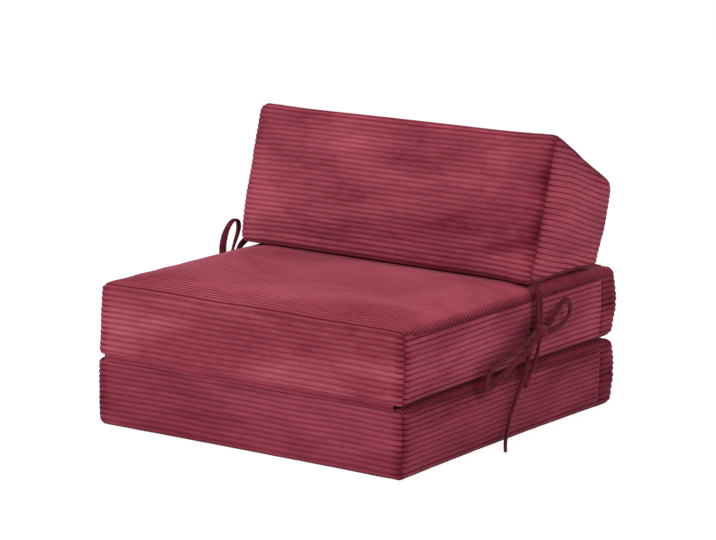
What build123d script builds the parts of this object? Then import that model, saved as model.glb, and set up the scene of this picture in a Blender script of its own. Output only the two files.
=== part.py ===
from build123d import *
import math
import os

# Fold-out chair bed: two stacked foam blocks and a wedge back cushion, each in a ribbed cloth cover.
# Millimetres. +X is the right of someone who looks at the front, -Y is the front, +Z is up.
# The origin is on the floor under the middle of the chair, without its ties.

# Blocks
block_width = 700.0
block_depth = 800.0
lower_height = 136.0
seat_top_height = 289.0
lower_crown = 4.0
seat_crown = 11.0
seat_underside_crown = 4.0
plan_corner_radius = 24.0
edge_radius = 18.0
draw_in = 3.0
crown_run = 72.0
crown_corner_radius = 30.0
crown_ledge = 1.0
# How far in, and how far up, each crown section lies
crown_section_shares = [(0.0, 0.0), (0.3, 0.5), (0.64, 0.86), (1.0, 1.0)]

# Cloth covers
cover_thickness = 4.0
foam_gap = 0.4
seat_clearance = 0.3
seam_inset = 12.0
boxing_wrap = 62.0
cut_overrun = 1.0

# Back cushion, an isosceles wedge that stands on one slanted leg
back_front_length = 301.0
back_rear_length = 171.0
back_thickness = 248.0
back_setback = 70.0
back_top_radius = 20.0
back_bottom_radius = 14.0
back_end_radius = 12.0
back_front_bulge = 7.0
back_top_bulge = 5.0

# Front hinge band and rear hinge flap
band_height = 22.0
band_thickness = 2.4
band_recess = 1.0
band_end_inset = 28.0
fold_stand_off = 1.0
hinge_line_inset = 10.0
hinge_line_drop = 1.0
flap_thickness = 2.2
flap_end_inset = 34.0
flap_sweep_radius = 10.2
flap_middle_share = 0.47
flap_middle_drop = 4.0
flap_top_drop = 0.4

# Zips
zip_slot_height = 12.0
zip_side_run = 8.0
zip_tape_overlap = 4.0
tape_height = 30.0
tape_thickness = 0.8
tape_depth = 1.8
coil_gap = 1.8
coil_height = 2.4
back_zip_rise = 55.0
back_zip_panel_height = 60.0
back_zip_end_inset = 34.0
back_panel_end_inset = 22.0

# Zip slider and its pull tab
wing_length = 15.0
wing_front_width = 10.4
wing_rear_width = 9.6
wing_corner_radius = 2.0
wing_thickness = 1.2
lower_wing_thickness = 1.0
wing_lift = 0.4
coil_side_clearance = 0.5
tape_clearance = 0.5
neck_length = 6.0
neck_width = 1.2
bail_radius = 4.0
bail_wire = 1.6
pull_axis_lift = 1.4
pull_length = 30.0
pull_width = 9.0
pull_neck_width = 6.8
pull_thickness = 1.4
pull_bar = 1.4
pull_window_length = 4.9
pull_window_width = 4.4
pull_hole_radius = 1.6
pull_end_radius = 3.0
slider_end_margin = 3.5

# Ties
tie_diameter = 8.4
knot_radius = 13.0
knot_rim_radius = 6.0
knot_height = 24.0
knot_centre = (364.0, 81.0, 208.0)
knot_tilt = -18.0
arc_share = 0.45

# Right bow, as seen on the outside of the right side panels
root_front_route = [(344, 74, 300), (356, 73, 287), (361, 73, 266), (362, 74, 240), (362, 75, 212)]
root_rear_route = [(344, 84, 294), (359, 82, 282), (365, 82, 262), (367, 83, 240), (367, 83, 212)]
tail_front_route = [
    (359, 78, 204), (358, 64, 182), (359, 46, 152), (361, 29, 121), (362, 9, 94), (363, -12, 68),
    (365, -29, 44), (370, -44, 24), (379, -62, 10), (391, -80, 5),
]
tail_rear_route = [(364, 85, 202), (366, 77, 180), (368, 62, 154), (367, 45, 127), (367, 26, 104)]
loop_rear_route = [
    (367, 86, 211), (374, 104, 221), (375, 129, 247), (375, 156, 259), (374, 178, 249),
    (372, 184, 226), (370, 164, 210), (368, 133, 203), (366, 107, 202), (365, 87, 203),
]
hanging_loop_route = [
    (365, 76, 213), (368, 50, 206), (371, 11, 199), (374, -48, 191), (376, -106, 180), (376, -137, 162),
    (375, -141, 138), (374, -119, 125), (373, -94, 134), (373, -52, 147), (373, -6, 161), (373, 42, 179),
    (366, 76, 203),
]
# The left bow's front loop stands up beside the back cushion
standing_loop_route = [
    (366, 77, 203), (371, 60, 216), (373, 49, 238), (373, 41, 264), (372, 41, 290), (371, 51, 315),
    (370, 71, 332), (370, 92, 327), (371, 94, 306), (373, 84, 283), (375, 75, 258), (374, 73, 233),
    (371, 77, 213),
]

# Sizes that follow from those above
bail_top = wing_lift + wing_thickness + bail_radius + bail_wire / 2
front_y = -(block_depth + bail_top) / 2
rear_y = front_y + block_depth
seat_bottom_height = lower_height + seat_clearance
lean = math.atan2((back_front_length - back_rear_length) / 2, back_thickness)
back_bottom_depth = back_thickness / math.cos(lean)
back_bottom_height = seat_top_height + seat_clearance
back_rear_y = rear_y - back_setback
back_front_y = back_rear_y - back_bottom_depth
fold_axis_height = (seat_top_height + seat_clearance) / 2
back_axis_y = rear_y - hinge_line_inset
back_axis_height = seat_top_height - hinge_line_drop
lower_zip_height = (lower_height - lower_crown) / 2
seat_zip_height = (seat_bottom_height + seat_underside_crown + seat_top_height - seat_crown) / 2
zip_travel = block_width - 2 * (plan_corner_radius + wing_length / 2 + slider_end_margin)
back_zip_travel = block_width - 2 * (back_zip_end_inset + wing_length / 2 + slider_end_margin)


def block_outline(inset, corner_radius):
    """Plan outline of a block: front and sides drawn in between the corners, rear straight."""
    half_width = block_width / 2 - inset
    front, rear = front_y + inset, rear_y - inset
    middle = (front + rear) / 2
    edges = [
        ThreePointArc((-half_width, front), (0, front + draw_in), (half_width, front)),
        ThreePointArc((half_width, front), (half_width - draw_in, middle), (half_width, rear)),
        Line((half_width, rear), (-half_width, rear)),
        ThreePointArc((-half_width, rear), (draw_in - half_width, middle), (-half_width, front)),
    ]
    outline = make_face(edges)
    return fillet(outline.vertices(), corner_radius)


def block_crown(edge_height, rise, inset):
    """Domed cap on a block's flat top, or under its flat bottom where rise is negative."""
    sections = []
    for in_share, up_share in crown_section_shares:
        section_inset = inset + edge_radius + crown_ledge + in_share * crown_run
        section = block_outline(section_inset, crown_corner_radius)
        sections.append(Pos(0, 0, edge_height + up_share * rise) * section)
    return loft(sections)


def block_body(bottom, underside_crown, top, top_crown, inset):
    """Solid outer form of a block, drawn in by inset all round."""
    edge_bottom = bottom + underside_crown + inset
    edge_top = top - top_crown - inset
    outline = block_outline(inset, plan_corner_radius - inset)
    body = Pos(0, 0, edge_bottom) * extrude(outline, amount=edge_top - edge_bottom)
    rims = body.edges().group_by(Axis.Z)
    body = fillet(rims[0] + rims[-1], edge_radius - inset)
    body += block_crown(edge_top, top_crown, inset)
    if underside_crown > 0:
        body += block_crown(edge_bottom, -underside_crown, inset)
    return body


def span_box(low, high):
    """Box between two corners."""
    size = [high[i] - low[i] for i in range(len(low))]
    centre = [(high[i] + low[i]) / 2 for i in range(len(low))]
    return Pos(*centre) * Box(*size)


def outline_band(outer_inset, inner_inset, low, high, front_limit):
    """Upright strip that follows the plan outline behind front_limit."""
    outer = block_outline(outer_inset, plan_corner_radius - outer_inset)
    inner = block_outline(inner_inset, plan_corner_radius - inner_inset)
    band = Pos(0, 0, low) * extrude(outer - inner, amount=high - low)
    reach = block_width / 2 + cut_overrun
    return band & span_box((-reach, front_limit, low), (reach, rear_y + cut_overrun, high))


def block_panels(bottom, underside_crown, top, top_crown, zip_height):
    """Cover of a block as its wrap, two side panels and a rear panel with a slot for the zip."""
    shape = (bottom, underside_crown, top, top_crown)
    cover = block_body(*shape, 0) - block_body(*shape, cover_thickness)
    low = bottom + underside_crown + seam_inset
    high = top - top_crown - seam_inset
    wall = block_width / 2 - edge_radius
    reach = block_width / 2 + cut_overrun
    side_front = front_y + seam_inset
    side_rear = rear_y - boxing_wrap
    right_zone = span_box((wall, side_front, low), (reach, side_rear, high))
    left_zone = span_box((-reach, side_front, low), (-wall, side_rear, high))
    rear_zone = span_box((-reach, side_rear, low), (reach, rear_y + cut_overrun, high))
    rear = cover & rear_zone
    half_slot = zip_slot_height / 2
    slot_front = rear_y - zip_side_run
    rear -= span_box(
        (-reach, slot_front, zip_height - half_slot),
        (reach, rear_y + cut_overrun, zip_height + half_slot),
    )
    tape_front = slot_front - zip_tape_overlap
    half_tape = tape_height / 2
    tape_back = tape_depth + tape_thickness
    rear -= outline_band(tape_depth, tape_back, zip_height - half_tape, zip_height + half_tape, tape_front)
    wrap = cover - right_zone - left_zone - rear_zone
    return {
        "wrap": wrap,
        "side_left": cover & left_zone,
        "side_right": cover & right_zone,
        "rear": rear,
    }


def block_zip_tape(zip_height):
    """Two tapes with their coils, along the rear panel and round both rear corners."""
    slot_front = rear_y - zip_side_run
    tape_front = slot_front - zip_tape_overlap
    tape_back = tape_depth + tape_thickness
    half_gap = coil_gap / 2
    half_tape = tape_height / 2
    strips = []
    for side in (1, -1):
        tape_edges = sorted((zip_height + side * half_gap, zip_height + side * half_tape))
        coil_edges = sorted((zip_height + side * half_gap, zip_height + side * (half_gap + coil_height)))
        tape = outline_band(tape_depth, tape_back, *tape_edges, tape_front)
        coil = outline_band(0, tape_depth, *coil_edges, slot_front)
        strips.append(tape + coil)
    return Compound(children=[solid for strip in strips for solid in strip.solids()])


def wing_outline():
    """Slider wing, seen square on: a little wider at the mouth than at the tail."""
    half = wing_length / 2
    corners = [
        (-half, -wing_rear_width / 2), (half, -wing_front_width / 2),
        (half, wing_front_width / 2), (-half, wing_rear_width / 2),
    ]
    outline = make_face(Polyline(*corners, close=True))
    return fillet(outline.vertices(), wing_corner_radius)


def zip_slider():
    """Slider on a flat chain: x along the zip, z out of the cloth, z zero on the cloth's face."""
    wing_top = wing_lift + wing_thickness
    outline = wing_outline()
    body = Pos(0, 0, wing_lift) * extrude(outline, amount=wing_thickness)
    flange_depth = tape_depth - tape_clearance + wing_lift
    channel_half = coil_gap / 2 + coil_height + coil_side_clearance
    flanges = Pos(0, 0, wing_lift - flange_depth) * extrude(outline, amount=flange_depth)
    flanges -= Pos(0, 0, wing_lift - flange_depth / 2) * Box(2 * wing_length, 2 * channel_half, 2 * flange_depth)
    lower_wing = Pos(0, 0, -cover_thickness) * extrude(outline, amount=lower_wing_thickness)
    neck_plan = SlotOverall(neck_length, neck_width)
    neck_x = wing_length / 2 - neck_length / 2 - wing_corner_radius
    neck_height = cover_thickness + wing_lift
    neck = Pos(neck_x, 0, -cover_thickness) * extrude(neck_plan, amount=neck_height)
    foot_x = bail_radius
    foot_depth = wing_thickness / 2
    arch = ThreePointArc(
        (-foot_x, 0, wing_top - foot_depth),
        (0, 0, wing_top + bail_radius),
        (foot_x, 0, wing_top - foot_depth),
    )
    bail = sweep(Plane(origin=arch @ 0, z_dir=arch % 0) * Circle(bail_wire / 2), path=arch)
    return body + flanges + lower_wing + neck + bail


def pull_axis_z():
    """Height of the pull's swinging axis over the cloth."""
    return wing_lift + wing_thickness + pull_axis_lift


def zip_pull():
    """Stamped pull tab that lies along the chain, its bar through the slider's bail."""
    tip = -pull_length
    shoulder = -pull_window_length - pull_bar
    corners = [
        (pull_bar / 2, -pull_neck_width / 2), (pull_bar / 2, pull_neck_width / 2),
        (shoulder, pull_neck_width / 2), (tip, pull_width / 2),
        (tip, -pull_width / 2), (shoulder, -pull_neck_width / 2),
    ]
    plate = make_face(Polyline(*corners, close=True))
    plate = fillet(plate.vertices().group_by(Axis.X)[0], pull_end_radius)
    window_x = -(pull_bar + pull_window_length) / 2
    plate -= Pos(window_x, 0) * Rectangle(pull_window_length, pull_window_width)
    plate -= Pos(tip + pull_end_radius + pull_hole_radius, 0) * Circle(pull_hole_radius)
    lift = pull_axis_z() - pull_thickness / 2
    return Pos(0, 0, lift) * extrude(plate, amount=pull_thickness)


def back_corners():
    """Sharp corners of the back cushion's section in Y and Z: front low, front top, rear top, rear low."""
    up = (math.sin(lean), math.cos(lean))
    front_low = (back_front_y, back_bottom_height)
    rear_low = (back_rear_y, back_bottom_height)
    front_top = tuple(front_low[i] + back_front_length * up[i] for i in (0, 1))
    rear_top = tuple(rear_low[i] + back_rear_length * up[i] for i in (0, 1))
    return front_low, front_top, rear_top, rear_low


def bulged(start, end, bulge):
    """Arc from start to end that stands out to the left of the way it runs."""
    length = math.dist(start, end)
    along = ((end[0] - start[0]) / length, (end[1] - start[1]) / length)
    middle = ((start[0] + end[0]) / 2 - bulge * along[1], (start[1] + end[1]) / 2 + bulge * along[0])
    return ThreePointArc(start, middle, end)


def back_section(inset):
    """Section of the back cushion: bulged front and top, flat bottom and back."""
    front_low, front_top, rear_top, rear_low = back_corners()
    edges = [
        bulged(front_low, front_top, back_front_bulge),
        bulged(front_top, rear_top, back_top_bulge),
        Line(rear_top, rear_low),
        Line(rear_low, front_low),
    ]
    section = make_face(edges)
    by_height = section.vertices().sort_by(Axis.Y)
    section = fillet(by_height[2:], back_top_radius)
    section = fillet(section.vertices().group_by(Axis.Y)[0].sort_by(Axis.X)[0], back_bottom_radius)
    section = fillet(section.vertices().group_by(Axis.Y)[0].sort_by(Axis.X)[-1], back_bottom_radius)
    return offset(section, amount=-inset) if inset else section


def back_body(inset):
    """Solid outer form of the back cushion, drawn in by inset all round."""
    half_width = block_width / 2 - inset
    body = extrude(Plane.YZ * back_section(inset), amount=half_width, both=True)
    ends = body.edges().group_by(Axis.X)
    return fillet(ends[0] + ends[-1], back_end_radius - inset)


def back_zip_plane():
    """Plane on the back face at the middle of the zip: x along the zip, z out of the cloth."""
    up = (0, math.sin(lean), math.cos(lean))
    out = (0, math.cos(lean), -math.sin(lean))
    origin = (0, back_rear_y + back_zip_rise * up[1], back_bottom_height + back_zip_rise * up[2])
    return Plane(origin=origin, x_dir=(-1, 0, 0), z_dir=out)


def back_panels():
    """Cover of the back cushion as its wrap, two side panels and a zip panel low on the back."""
    cover = back_body(0) - back_body(cover_thickness)
    half_width = block_width / 2
    side_plan = back_section(seam_inset)
    zone_length = back_end_radius + cut_overrun
    right_zone = Pos(half_width - back_end_radius, 0, 0) * extrude(Plane.YZ * side_plan, amount=zone_length)
    left_zone = mirror(right_zone, about=Plane.YZ)
    place = back_zip_plane().location
    panel_half = half_width - back_panel_end_inset
    panel_half_height = back_zip_panel_height / 2
    panel_zone = place * span_box(
        (-panel_half, -panel_half_height, -cover_thickness - cut_overrun),
        (panel_half, panel_half_height, cut_overrun),
    )
    zip_half = half_width - back_zip_end_inset
    tape_half = zip_half + zip_tape_overlap
    slot = place * span_box(
        (-zip_half, -zip_slot_height / 2, -cover_thickness - cut_overrun),
        (zip_half, zip_slot_height / 2, cut_overrun),
    )
    tape_back = -tape_depth - tape_thickness
    pocket = place * span_box((-tape_half, -tape_height / 2, tape_back), (tape_half, tape_height / 2, -tape_depth))
    return {
        "wrap": cover - right_zone - left_zone - panel_zone,
        "side_left": cover & left_zone,
        "side_right": cover & right_zone,
        "zip_panel": (cover & panel_zone) - slot - pocket,
    }


def back_zip_tape():
    """Two straight tapes with their coils in the back cushion's zip panel."""
    zip_half = block_width / 2 - back_zip_end_inset
    tape_half = zip_half + zip_tape_overlap
    half_gap = coil_gap / 2
    strips = []
    for side in (1, -1):
        tape_edges = sorted((side * half_gap, side * tape_height / 2))
        coil_edges = sorted((side * half_gap, side * (half_gap + coil_height)))
        tape = span_box(
            (-tape_half, tape_edges[0], -tape_depth - tape_thickness),
            (tape_half, tape_edges[1], -tape_depth),
        )
        coil = span_box((-zip_half, coil_edges[0], -tape_depth), (zip_half, coil_edges[1], 0))
        strips.append(back_zip_plane().location * (tape + coil))
    return Compound(children=[solid for strip in strips for solid in strip.solids()])


def front_band():
    """Cloth strip between the two blocks at the front, along their drawn-in outline."""
    low = (lower_height + seat_bottom_height - band_height) / 2
    high = low + band_height
    band_back = band_recess + band_thickness
    outer = block_outline(band_recess, plan_corner_radius - band_recess)
    inner = block_outline(band_back, plan_corner_radius - band_back)
    strip = Pos(0, 0, low) * extrude(outer - inner, amount=band_height)
    half_length = block_width / 2 - band_end_inset
    depth = band_back + draw_in + cut_overrun
    return strip & span_box((-half_length, front_y, low), (half_length, front_y + depth, high))


def rear_flap():
    """Cloth flap that lies on the seat, from the hinge line to the back cushion's lower rear edge."""
    flap_front_y = back_rear_y - back_bottom_radius
    line_z = back_axis_height - flap_sweep_radius
    middle_y = back_axis_y + flap_middle_share * (flap_front_y - back_axis_y)
    front_z = seat_top_height - flap_top_drop + seat_clearance
    lower_edge = ThreePointArc(
        (flap_front_y, front_z), (middle_y, seat_top_height - flap_middle_drop), (back_axis_y, line_z)
    )
    upper_edge = ThreePointArc(
        (flap_front_y, front_z + flap_thickness),
        (middle_y, seat_top_height - flap_middle_drop + flap_thickness),
        (back_axis_y, line_z + flap_thickness),
    )
    ends = [Line(lower_edge @ 0, upper_edge @ 0), Line(lower_edge @ 1, upper_edge @ 1)]
    section = make_face([lower_edge, upper_edge] + ends)
    half_length = block_width / 2 - flap_end_inset
    strip = extrude(Plane.YZ * section, amount=half_length, both=True)
    return strip - back_body(-seat_clearance)


def bend_radii(route):
    """Largest sensible arc at each inner point of a tie's route."""
    points = [Vector(*point) for point in route]
    radii = []
    for before, here, after in zip(points, points[1:], points[2:]):
        run_in, run_out = here - before, after - here
        turn = math.radians(run_in.get_angle(run_out))
        radii.append(arc_share * min(run_in.length, run_out.length) / math.tan(turn / 2))
    return radii


def tie_tube(name, route):
    """Round cloth tie along straight runs joined by tangent arcs."""
    radii = bend_radii(route)
    path = FilletPolyline(*route, radius=radii)
    profile = Plane(origin=path @ 0, z_dir=path % 0) * Circle(tie_diameter / 2)
    tube = sweep(profile, path=path)
    section_area = math.pi * tie_diameter ** 2 / 4
    print(name, "radii", [round(radius) for radius in radii], "length", round(path.length),
          "volume share", round(tube.volume / (section_area * path.length), 4))
    return tube


def tie_knot():
    """Knot of the right bow: a tight barrel of cloth, tilted the way the bow pulls it."""
    barrel = Cylinder(knot_radius, knot_height)
    barrel = fillet(barrel.edges().filter_by(GeomType.CIRCLE), knot_rim_radius)
    return Pos(*knot_centre) * Rot(knot_tilt, 0, 0) * barrel


def bow(side_name, front_loop_route, back_form):
    """The seven pieces of one bow, made for the right side and mirrored for the left."""
    knot = tie_knot()
    routes = {
        "root_front": root_front_route,
        "root_rear": root_rear_route,
        "loop_front": front_loop_route,
        "loop_rear": loop_rear_route,
        "tail_front": tail_front_route,
        "tail_rear": tail_rear_route,
    }
    pieces = {"knot": knot}
    for piece, route in routes.items():
        tube = tie_tube(f"tie_{side_name}_{piece}", route) - knot
        if piece.startswith("root"):
            tube -= back_form
        pieces[piece] = max(tube.solids(), key=lambda solid: solid.volume)
    if side_name == "left":
        pieces = {piece: mirror(solid, about=Plane.YZ) for piece, solid in pieces.items()}
    return {f"tie_{side_name}_{piece}": solid for piece, solid in pieces.items()}


lower_shape = (0, 0, lower_height, lower_crown)
seat_shape = (seat_bottom_height, seat_underside_crown, seat_top_height, seat_crown)
foam_inset = cover_thickness + foam_gap
block_shapes = {"lower": (lower_shape, lower_zip_height), "seat": (seat_shape, seat_zip_height)}

nodes = {}
for block_name, (shape, zip_height) in block_shapes.items():
    nodes[f"{block_name}_foam_core"] = block_body(*shape, foam_inset)
    for panel_name, panel in block_panels(*shape, zip_height).items():
        nodes[f"{block_name}_cover_{panel_name}"] = panel
    nodes[f"{block_name}_zip_tape"] = block_zip_tape(zip_height)
    zip_end = Plane(origin=(-zip_travel / 2, rear_y, zip_height), x_dir=(-1, 0, 0), z_dir=(0, 1, 0)).location
    nodes[f"{block_name}_zip_slider"] = zip_end * zip_slider()
    nodes[f"{block_name}_zip_pull"] = zip_end * zip_pull()

back_form = back_body(0)
nodes["back_foam_core"] = back_body(foam_inset)
for panel_name, panel in back_panels().items():
    nodes[f"back_cover_{panel_name}"] = panel
nodes["back_zip_tape"] = back_zip_tape()
back_zip_end = back_zip_plane().location * Pos(back_zip_travel / 2, 0, 0)
nodes["back_zip_slider"] = back_zip_end * zip_slider()
nodes["back_zip_pull"] = back_zip_end * zip_pull()

nodes["front_hinge_band"] = front_band()
nodes["rear_hinge_flap"] = rear_flap()
nodes.update(bow("right", hanging_loop_route, back_form))
nodes.update(bow("left", standing_loop_route, back_form))

print("seat fold axis at y", front_y - fold_stand_off, "z", fold_axis_height)
print("back fold axis at y", back_axis_y, "z", back_axis_height)
print("zip travel of the blocks", zip_travel, "and of the back cushion", back_zip_travel)

os.makedirs("parts", exist_ok=True)
for node_name, node_shape in nodes.items():
    export_step(node_shape, f"parts/{node_name}.step")
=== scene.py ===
import math

import bpy
import numpy as np
from mathutils import Matrix, Vector, kdtree


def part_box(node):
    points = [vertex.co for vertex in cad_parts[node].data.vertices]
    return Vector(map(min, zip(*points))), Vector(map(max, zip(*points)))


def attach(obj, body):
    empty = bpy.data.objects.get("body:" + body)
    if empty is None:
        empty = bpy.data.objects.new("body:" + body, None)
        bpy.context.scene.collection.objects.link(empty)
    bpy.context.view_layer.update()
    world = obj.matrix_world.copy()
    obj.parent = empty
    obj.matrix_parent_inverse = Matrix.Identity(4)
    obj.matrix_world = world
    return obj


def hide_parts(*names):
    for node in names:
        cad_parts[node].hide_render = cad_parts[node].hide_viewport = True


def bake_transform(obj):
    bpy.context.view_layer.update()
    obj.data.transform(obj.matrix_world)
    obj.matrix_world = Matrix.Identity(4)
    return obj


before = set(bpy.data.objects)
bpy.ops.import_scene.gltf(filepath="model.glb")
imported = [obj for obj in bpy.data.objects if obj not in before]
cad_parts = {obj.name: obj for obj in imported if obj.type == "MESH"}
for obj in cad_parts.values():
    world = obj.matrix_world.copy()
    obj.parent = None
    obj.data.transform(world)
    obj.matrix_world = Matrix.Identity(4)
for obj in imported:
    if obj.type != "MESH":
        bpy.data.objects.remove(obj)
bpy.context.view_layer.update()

# Cloth, in metres
RIB_PITCH = 0.0108
RIB_DEPTH = 0.0020
RIB_TOP = 0.0022
SIDE_RIB_DEPTH = 0.0027
SHEET_RIB_DEPTH = 0.0018
RIB_SHARES = (0.0, 0.08, 0.2, 0.35, 0.5, 0.65, 0.8, 0.92)
# How uneven the cloth is, and over what length
RIB_UNEVENNESS, RIB_WAVE = 0.18, 0.05
RIB_WANDER, WANDER_WAVE = 0.0013, 0.22
HOLLOW_DEPTH, HOLLOW_WAVE = 0.0006, 0.30
PUCKER_DEPTH, PUCKER_WAVE, PUCKER_WIDTH = 0.0006, 0.034, 0.032
CALM_WIDTH = 0.02
SEAM_DIP = 0.0022
SEAM_WIDTH = 0.0045
STITCH_WIDTH, STITCH_FLATTER = 0.0022, 0.6
CREASE_WIDTH = 0.0022
CREASE_DEPTH = 0.0011
PANEL_DEPTH = 0.010
FLANGE = 0.014
FLANGE_DROP = 0.004
COLUMN_STEP = 0.014
ROLL_COLUMNS = 6
OUTLINE_SAMPLES = 720
# How far each piece's cloth is shifted along its ribs from the one with the seed before
CLOTH_SHIFT = 3.7

# How dark a seam, a crease, a rolled edge and the gap between the blocks get, and how far that reaches: painted
# shade, and along a seam's narrow line also its dark joint
SEAM_SHADE_WIDTH = 0.014
SEAM_LINE_WIDTH = 0.0026
CREASE_SHADE = 0.75
EDGE_SHADE = 0.75
JOINT_SHADE = 0.95
JOINT_SHADE_HEIGHT = 0.009
JOINT_SHADE_START = 0.322
JOINT_SHADE_RAMP = 0.02

# Blocks
BLOCK_ROLL = 0.014
BLOCK_TOP_DROP = {"lower": 0.0095, "seat": 0.0122}
BLOCK_EDGE_DROP = 0.0035
TOP_DROP_RAMP = 0.035
BOXING_WRAP = 0.062
BOXING_TUCK = 0.0045
BOXING_FIRST_STEP = 0.0025
BOXING_OVERLAP = 0.001
# Share of the rear corner's roll after which the zip's slot opens
SLOT_START = 0.7
SIDE_UNDER_BOXING = 0.002
SIDE_INSET = 0.0012
SIDE_END_ROOM = 0.0015
DRAW_IN = 0.003
SIDE_BULGE = 0.0035
EDGE_ZONE = 0.7
FRONT_SET_BACK = 0.0014
CROWN_RUN = 0.105
# The seat keeps below the back cushion, and is free in front of it
CEILING_RISE = 0.006
CEILING_RAMP = 0.045
SEAT_FREE_FROM = 0.068
RIB_ROOM = 0.0025
LOWER_RADII = (0.014, 0.013, 0.008, 0.014)
SEAT_RADII = (0.014, 0.008, 0.011, 0.014)
EDGE_CREASES = (0.0045, 0.0135)
FLOOR_ROOM, LOWER_TOP_ROOM, SEAT_TOP_ROOM = 0.0001, 0.00005, 0.0001

# Padding: how fast it swells the cloth, how far at most, and how near a seam that is sewn to something firm it no
# longer does
PAD_VOXEL = 0.021
PAD_UNEVENNESS, PAD_WAVE = 0.0016, 0.16
PAD_FRAMES = 20
SETTLED_MOST = {"lower": 0.004, "seat": 0.005, "back": 0.006}
SETTLE_CELL, CELL_NEIGHBOURS = 0.012, 6
SETTLE_BLUR, BLUR_NEIGHBOURS = 0.02, 10
HELD_REACH = 0.035

# Back cushion
BACK_ROLL = 0.0125
BACK_DROP = 0.0085
BACK_NARROWER = 0.002
BACK_SHIFT = -0.006
BACK_PLUMP = 0.008
BACK_CORNER_DRAW, BACK_CORNER_HEIGHT = 0.005, 0.10
BACK_FRONT_LENGTH = 0.301
BACK_LIFT = 0.005
BACK_REAR_PLUMP = (0.010, -0.008)
# Where the rear top corner's plumpness starts, up the cushion and through it, and over what run
BACK_PLUMP_HEIGHT, BACK_PLUMP_DEPTH = (0.085, 0.080), (0.08, 0.15)
BACK_REAR_LENGTH = 0.171
BACK_THICKNESS = 0.248
BACK_SETBACK = 0.070
BACK_FRONT_BULGE, BACK_FRONT_REACH = 0.007, 0.11
BACK_TOP_BULGE, BACK_TOP_REACH = 0.005, 0.09
BACK_RADII = (0.015, 0.017, 0.019, 0.024)
# How much less the back cushion bulges at its ends
BACK_END_CALM = 0.5
BACK_ZIP_RISE = 0.055
BACK_PANEL_HEIGHT = 0.060

# Band and flap
BAND_HALF_LENGTH, BAND_THICKNESS, BAND_FIRST_RIB = 0.329, 0.0024, -0.72
FLAP_HALF_LENGTH, FLAP_THICKNESS, FLAP_SINK = 0.316, 0.0022, 0.0008
SHEET_STEP = 0.0014
SHEET_UNEVENNESS, SHEET_WAVE = 0.0004, 0.12
BAND_PROFILE = [
    (-0.3900, 0.1292), (-0.3962, 0.1288), (-0.4026, 0.1296), (-0.4042, 0.1364), (-0.4026, 0.1432),
    (-0.3962, 0.1442), (-0.3900, 0.1438),
]
# The flap's heights are above the seat's rear edge
FLAP_PROFILE = [
    (0.3945, -0.0090), (0.3905, -0.0020), (0.3830, 0.0026), (0.3700, 0.0030), (0.3550, 0.0030), (0.3400, 0.0028),
    (0.3270, 0.0024), (0.3165, 0.0016),
]

# Zips
ZIP_SLOT = 0.012
ZIP_END_RAMP = 0.022
BLOCK_ZIP_LENGTH = 0.664
BACK_ZIP_LENGTH = 0.640
COIL_DEPTH = 0.0011
COIL_TILT = math.radians(14)
COIL_START, COIL_SWEEP = math.radians(-25), math.radians(230)
# How far below the coils' middle the tapes lie, in half heights of a coil
TAPE_SINK = 2.2
ZIP_SIZES = {
    "Length": 0.64, "Pitch": 0.0016, "Gap": 0.0006, "Loop Width": 0.0027, "Loop Rise": 0.0017, "Wire": 0.00052,
    "Tape Width": 0.0110, "Tape Thickness": 0.0008, "Tape Margin": 0.012,
}

# Camera, from a fit to the corners of the blocks, and lamps
CAMERA_PLACE = (3.617, -5.648, 1.655)
CAMERA_TURN = (-32.74, -11.52, 1.58)
FOCAL_PIXELS, PHOTO_WIDTH = 3488, 716
SENSOR_WIDTH = 36
LAMPS = {
    "key": ((-1.9, -3.0, 3.4), (0, 0, 0.25), 2.0, 113),
    "fill": ((3.5, -1.6, 2.5), (0, 0, 0.3), 1.5, 84),
}
FLOOR_REACH, FLOOR_HEIGHT = 9.0, -0.0004
FLOOR_GREY = 0.88
# White that the camera sees: the surround lights the cloth less than it shows, and the floor glows a little
SURROUND_LIGHT = 0.40
FLOOR_GLOW, FLOOR_GLOW_SHARE = 1.22, 0.72

wrap_low, wrap_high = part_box("lower_cover_wrap")
seat_low, seat_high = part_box("seat_cover_wrap")
back_low, back_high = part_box("back_cover_wrap")
HALF_WIDTH = back_high.x
FRONT_Y = wrap_low.y
REAR_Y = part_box("seat_cover_rear")[1].y
SEAT_BOTTOM = seat_low.z
SEAT_TOP = seat_high.z
LOWER_TOP = wrap_high.z
SEAT_CROWN, SEAT_UNDER_CROWN, LOWER_CROWN = 0.011, 0.004, 0.0035
LOWER_EDGE_HIGH = LOWER_TOP - LOWER_CROWN
SEAT_EDGE_LOW = SEAT_BOTTOM + SEAT_UNDER_CROWN
SEAT_EDGE_HIGH = SEAT_TOP - SEAT_CROWN
# The lower block is nowhere free of the seat block: its free part would start well in front of it
LOWER_FREE_FROM = FRONT_Y - 1


def new_object(name, data):
    """Puts a mesh, a curve, a camera or a lamp in the scene under its name"""
    piece = bpy.data.objects.new(name, data)
    bpy.context.scene.collection.objects.link(piece)
    return piece


def waves(points, wavelength, seed, count=5):
    """Smooth unevenness between about -1 and 1, from a few crossing waves"""
    generator = np.random.default_rng(seed)
    total = np.zeros(points.shape[:-1])
    for _ in range(count):
        direction = generator.normal(size=3)
        direction /= np.linalg.norm(direction)
        stretch = generator.uniform(0.7, 1.5)
        phase = generator.uniform(0, 2 * math.pi)
        total += np.sin(points @ direction * (2 * math.pi * stretch / wavelength) + phase)
    return total / math.sqrt(count) / 1.4


def ease(value):
    """Smooth step from 0 to 1"""
    value = np.clip(value, 0, 1)
    return value * value * (3 - 2 * value)


def falloff(distance, width):
    """1 at no distance, and nearly 0 beyond twice the width"""
    return np.exp(-((distance / width) ** 2))


def rise(distance):
    """How far a crowned top has risen at a distance from its edge, from 0 to 1"""
    return np.sin(math.pi / 2 * np.clip(distance / CROWN_RUN, 0, 1))


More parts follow.
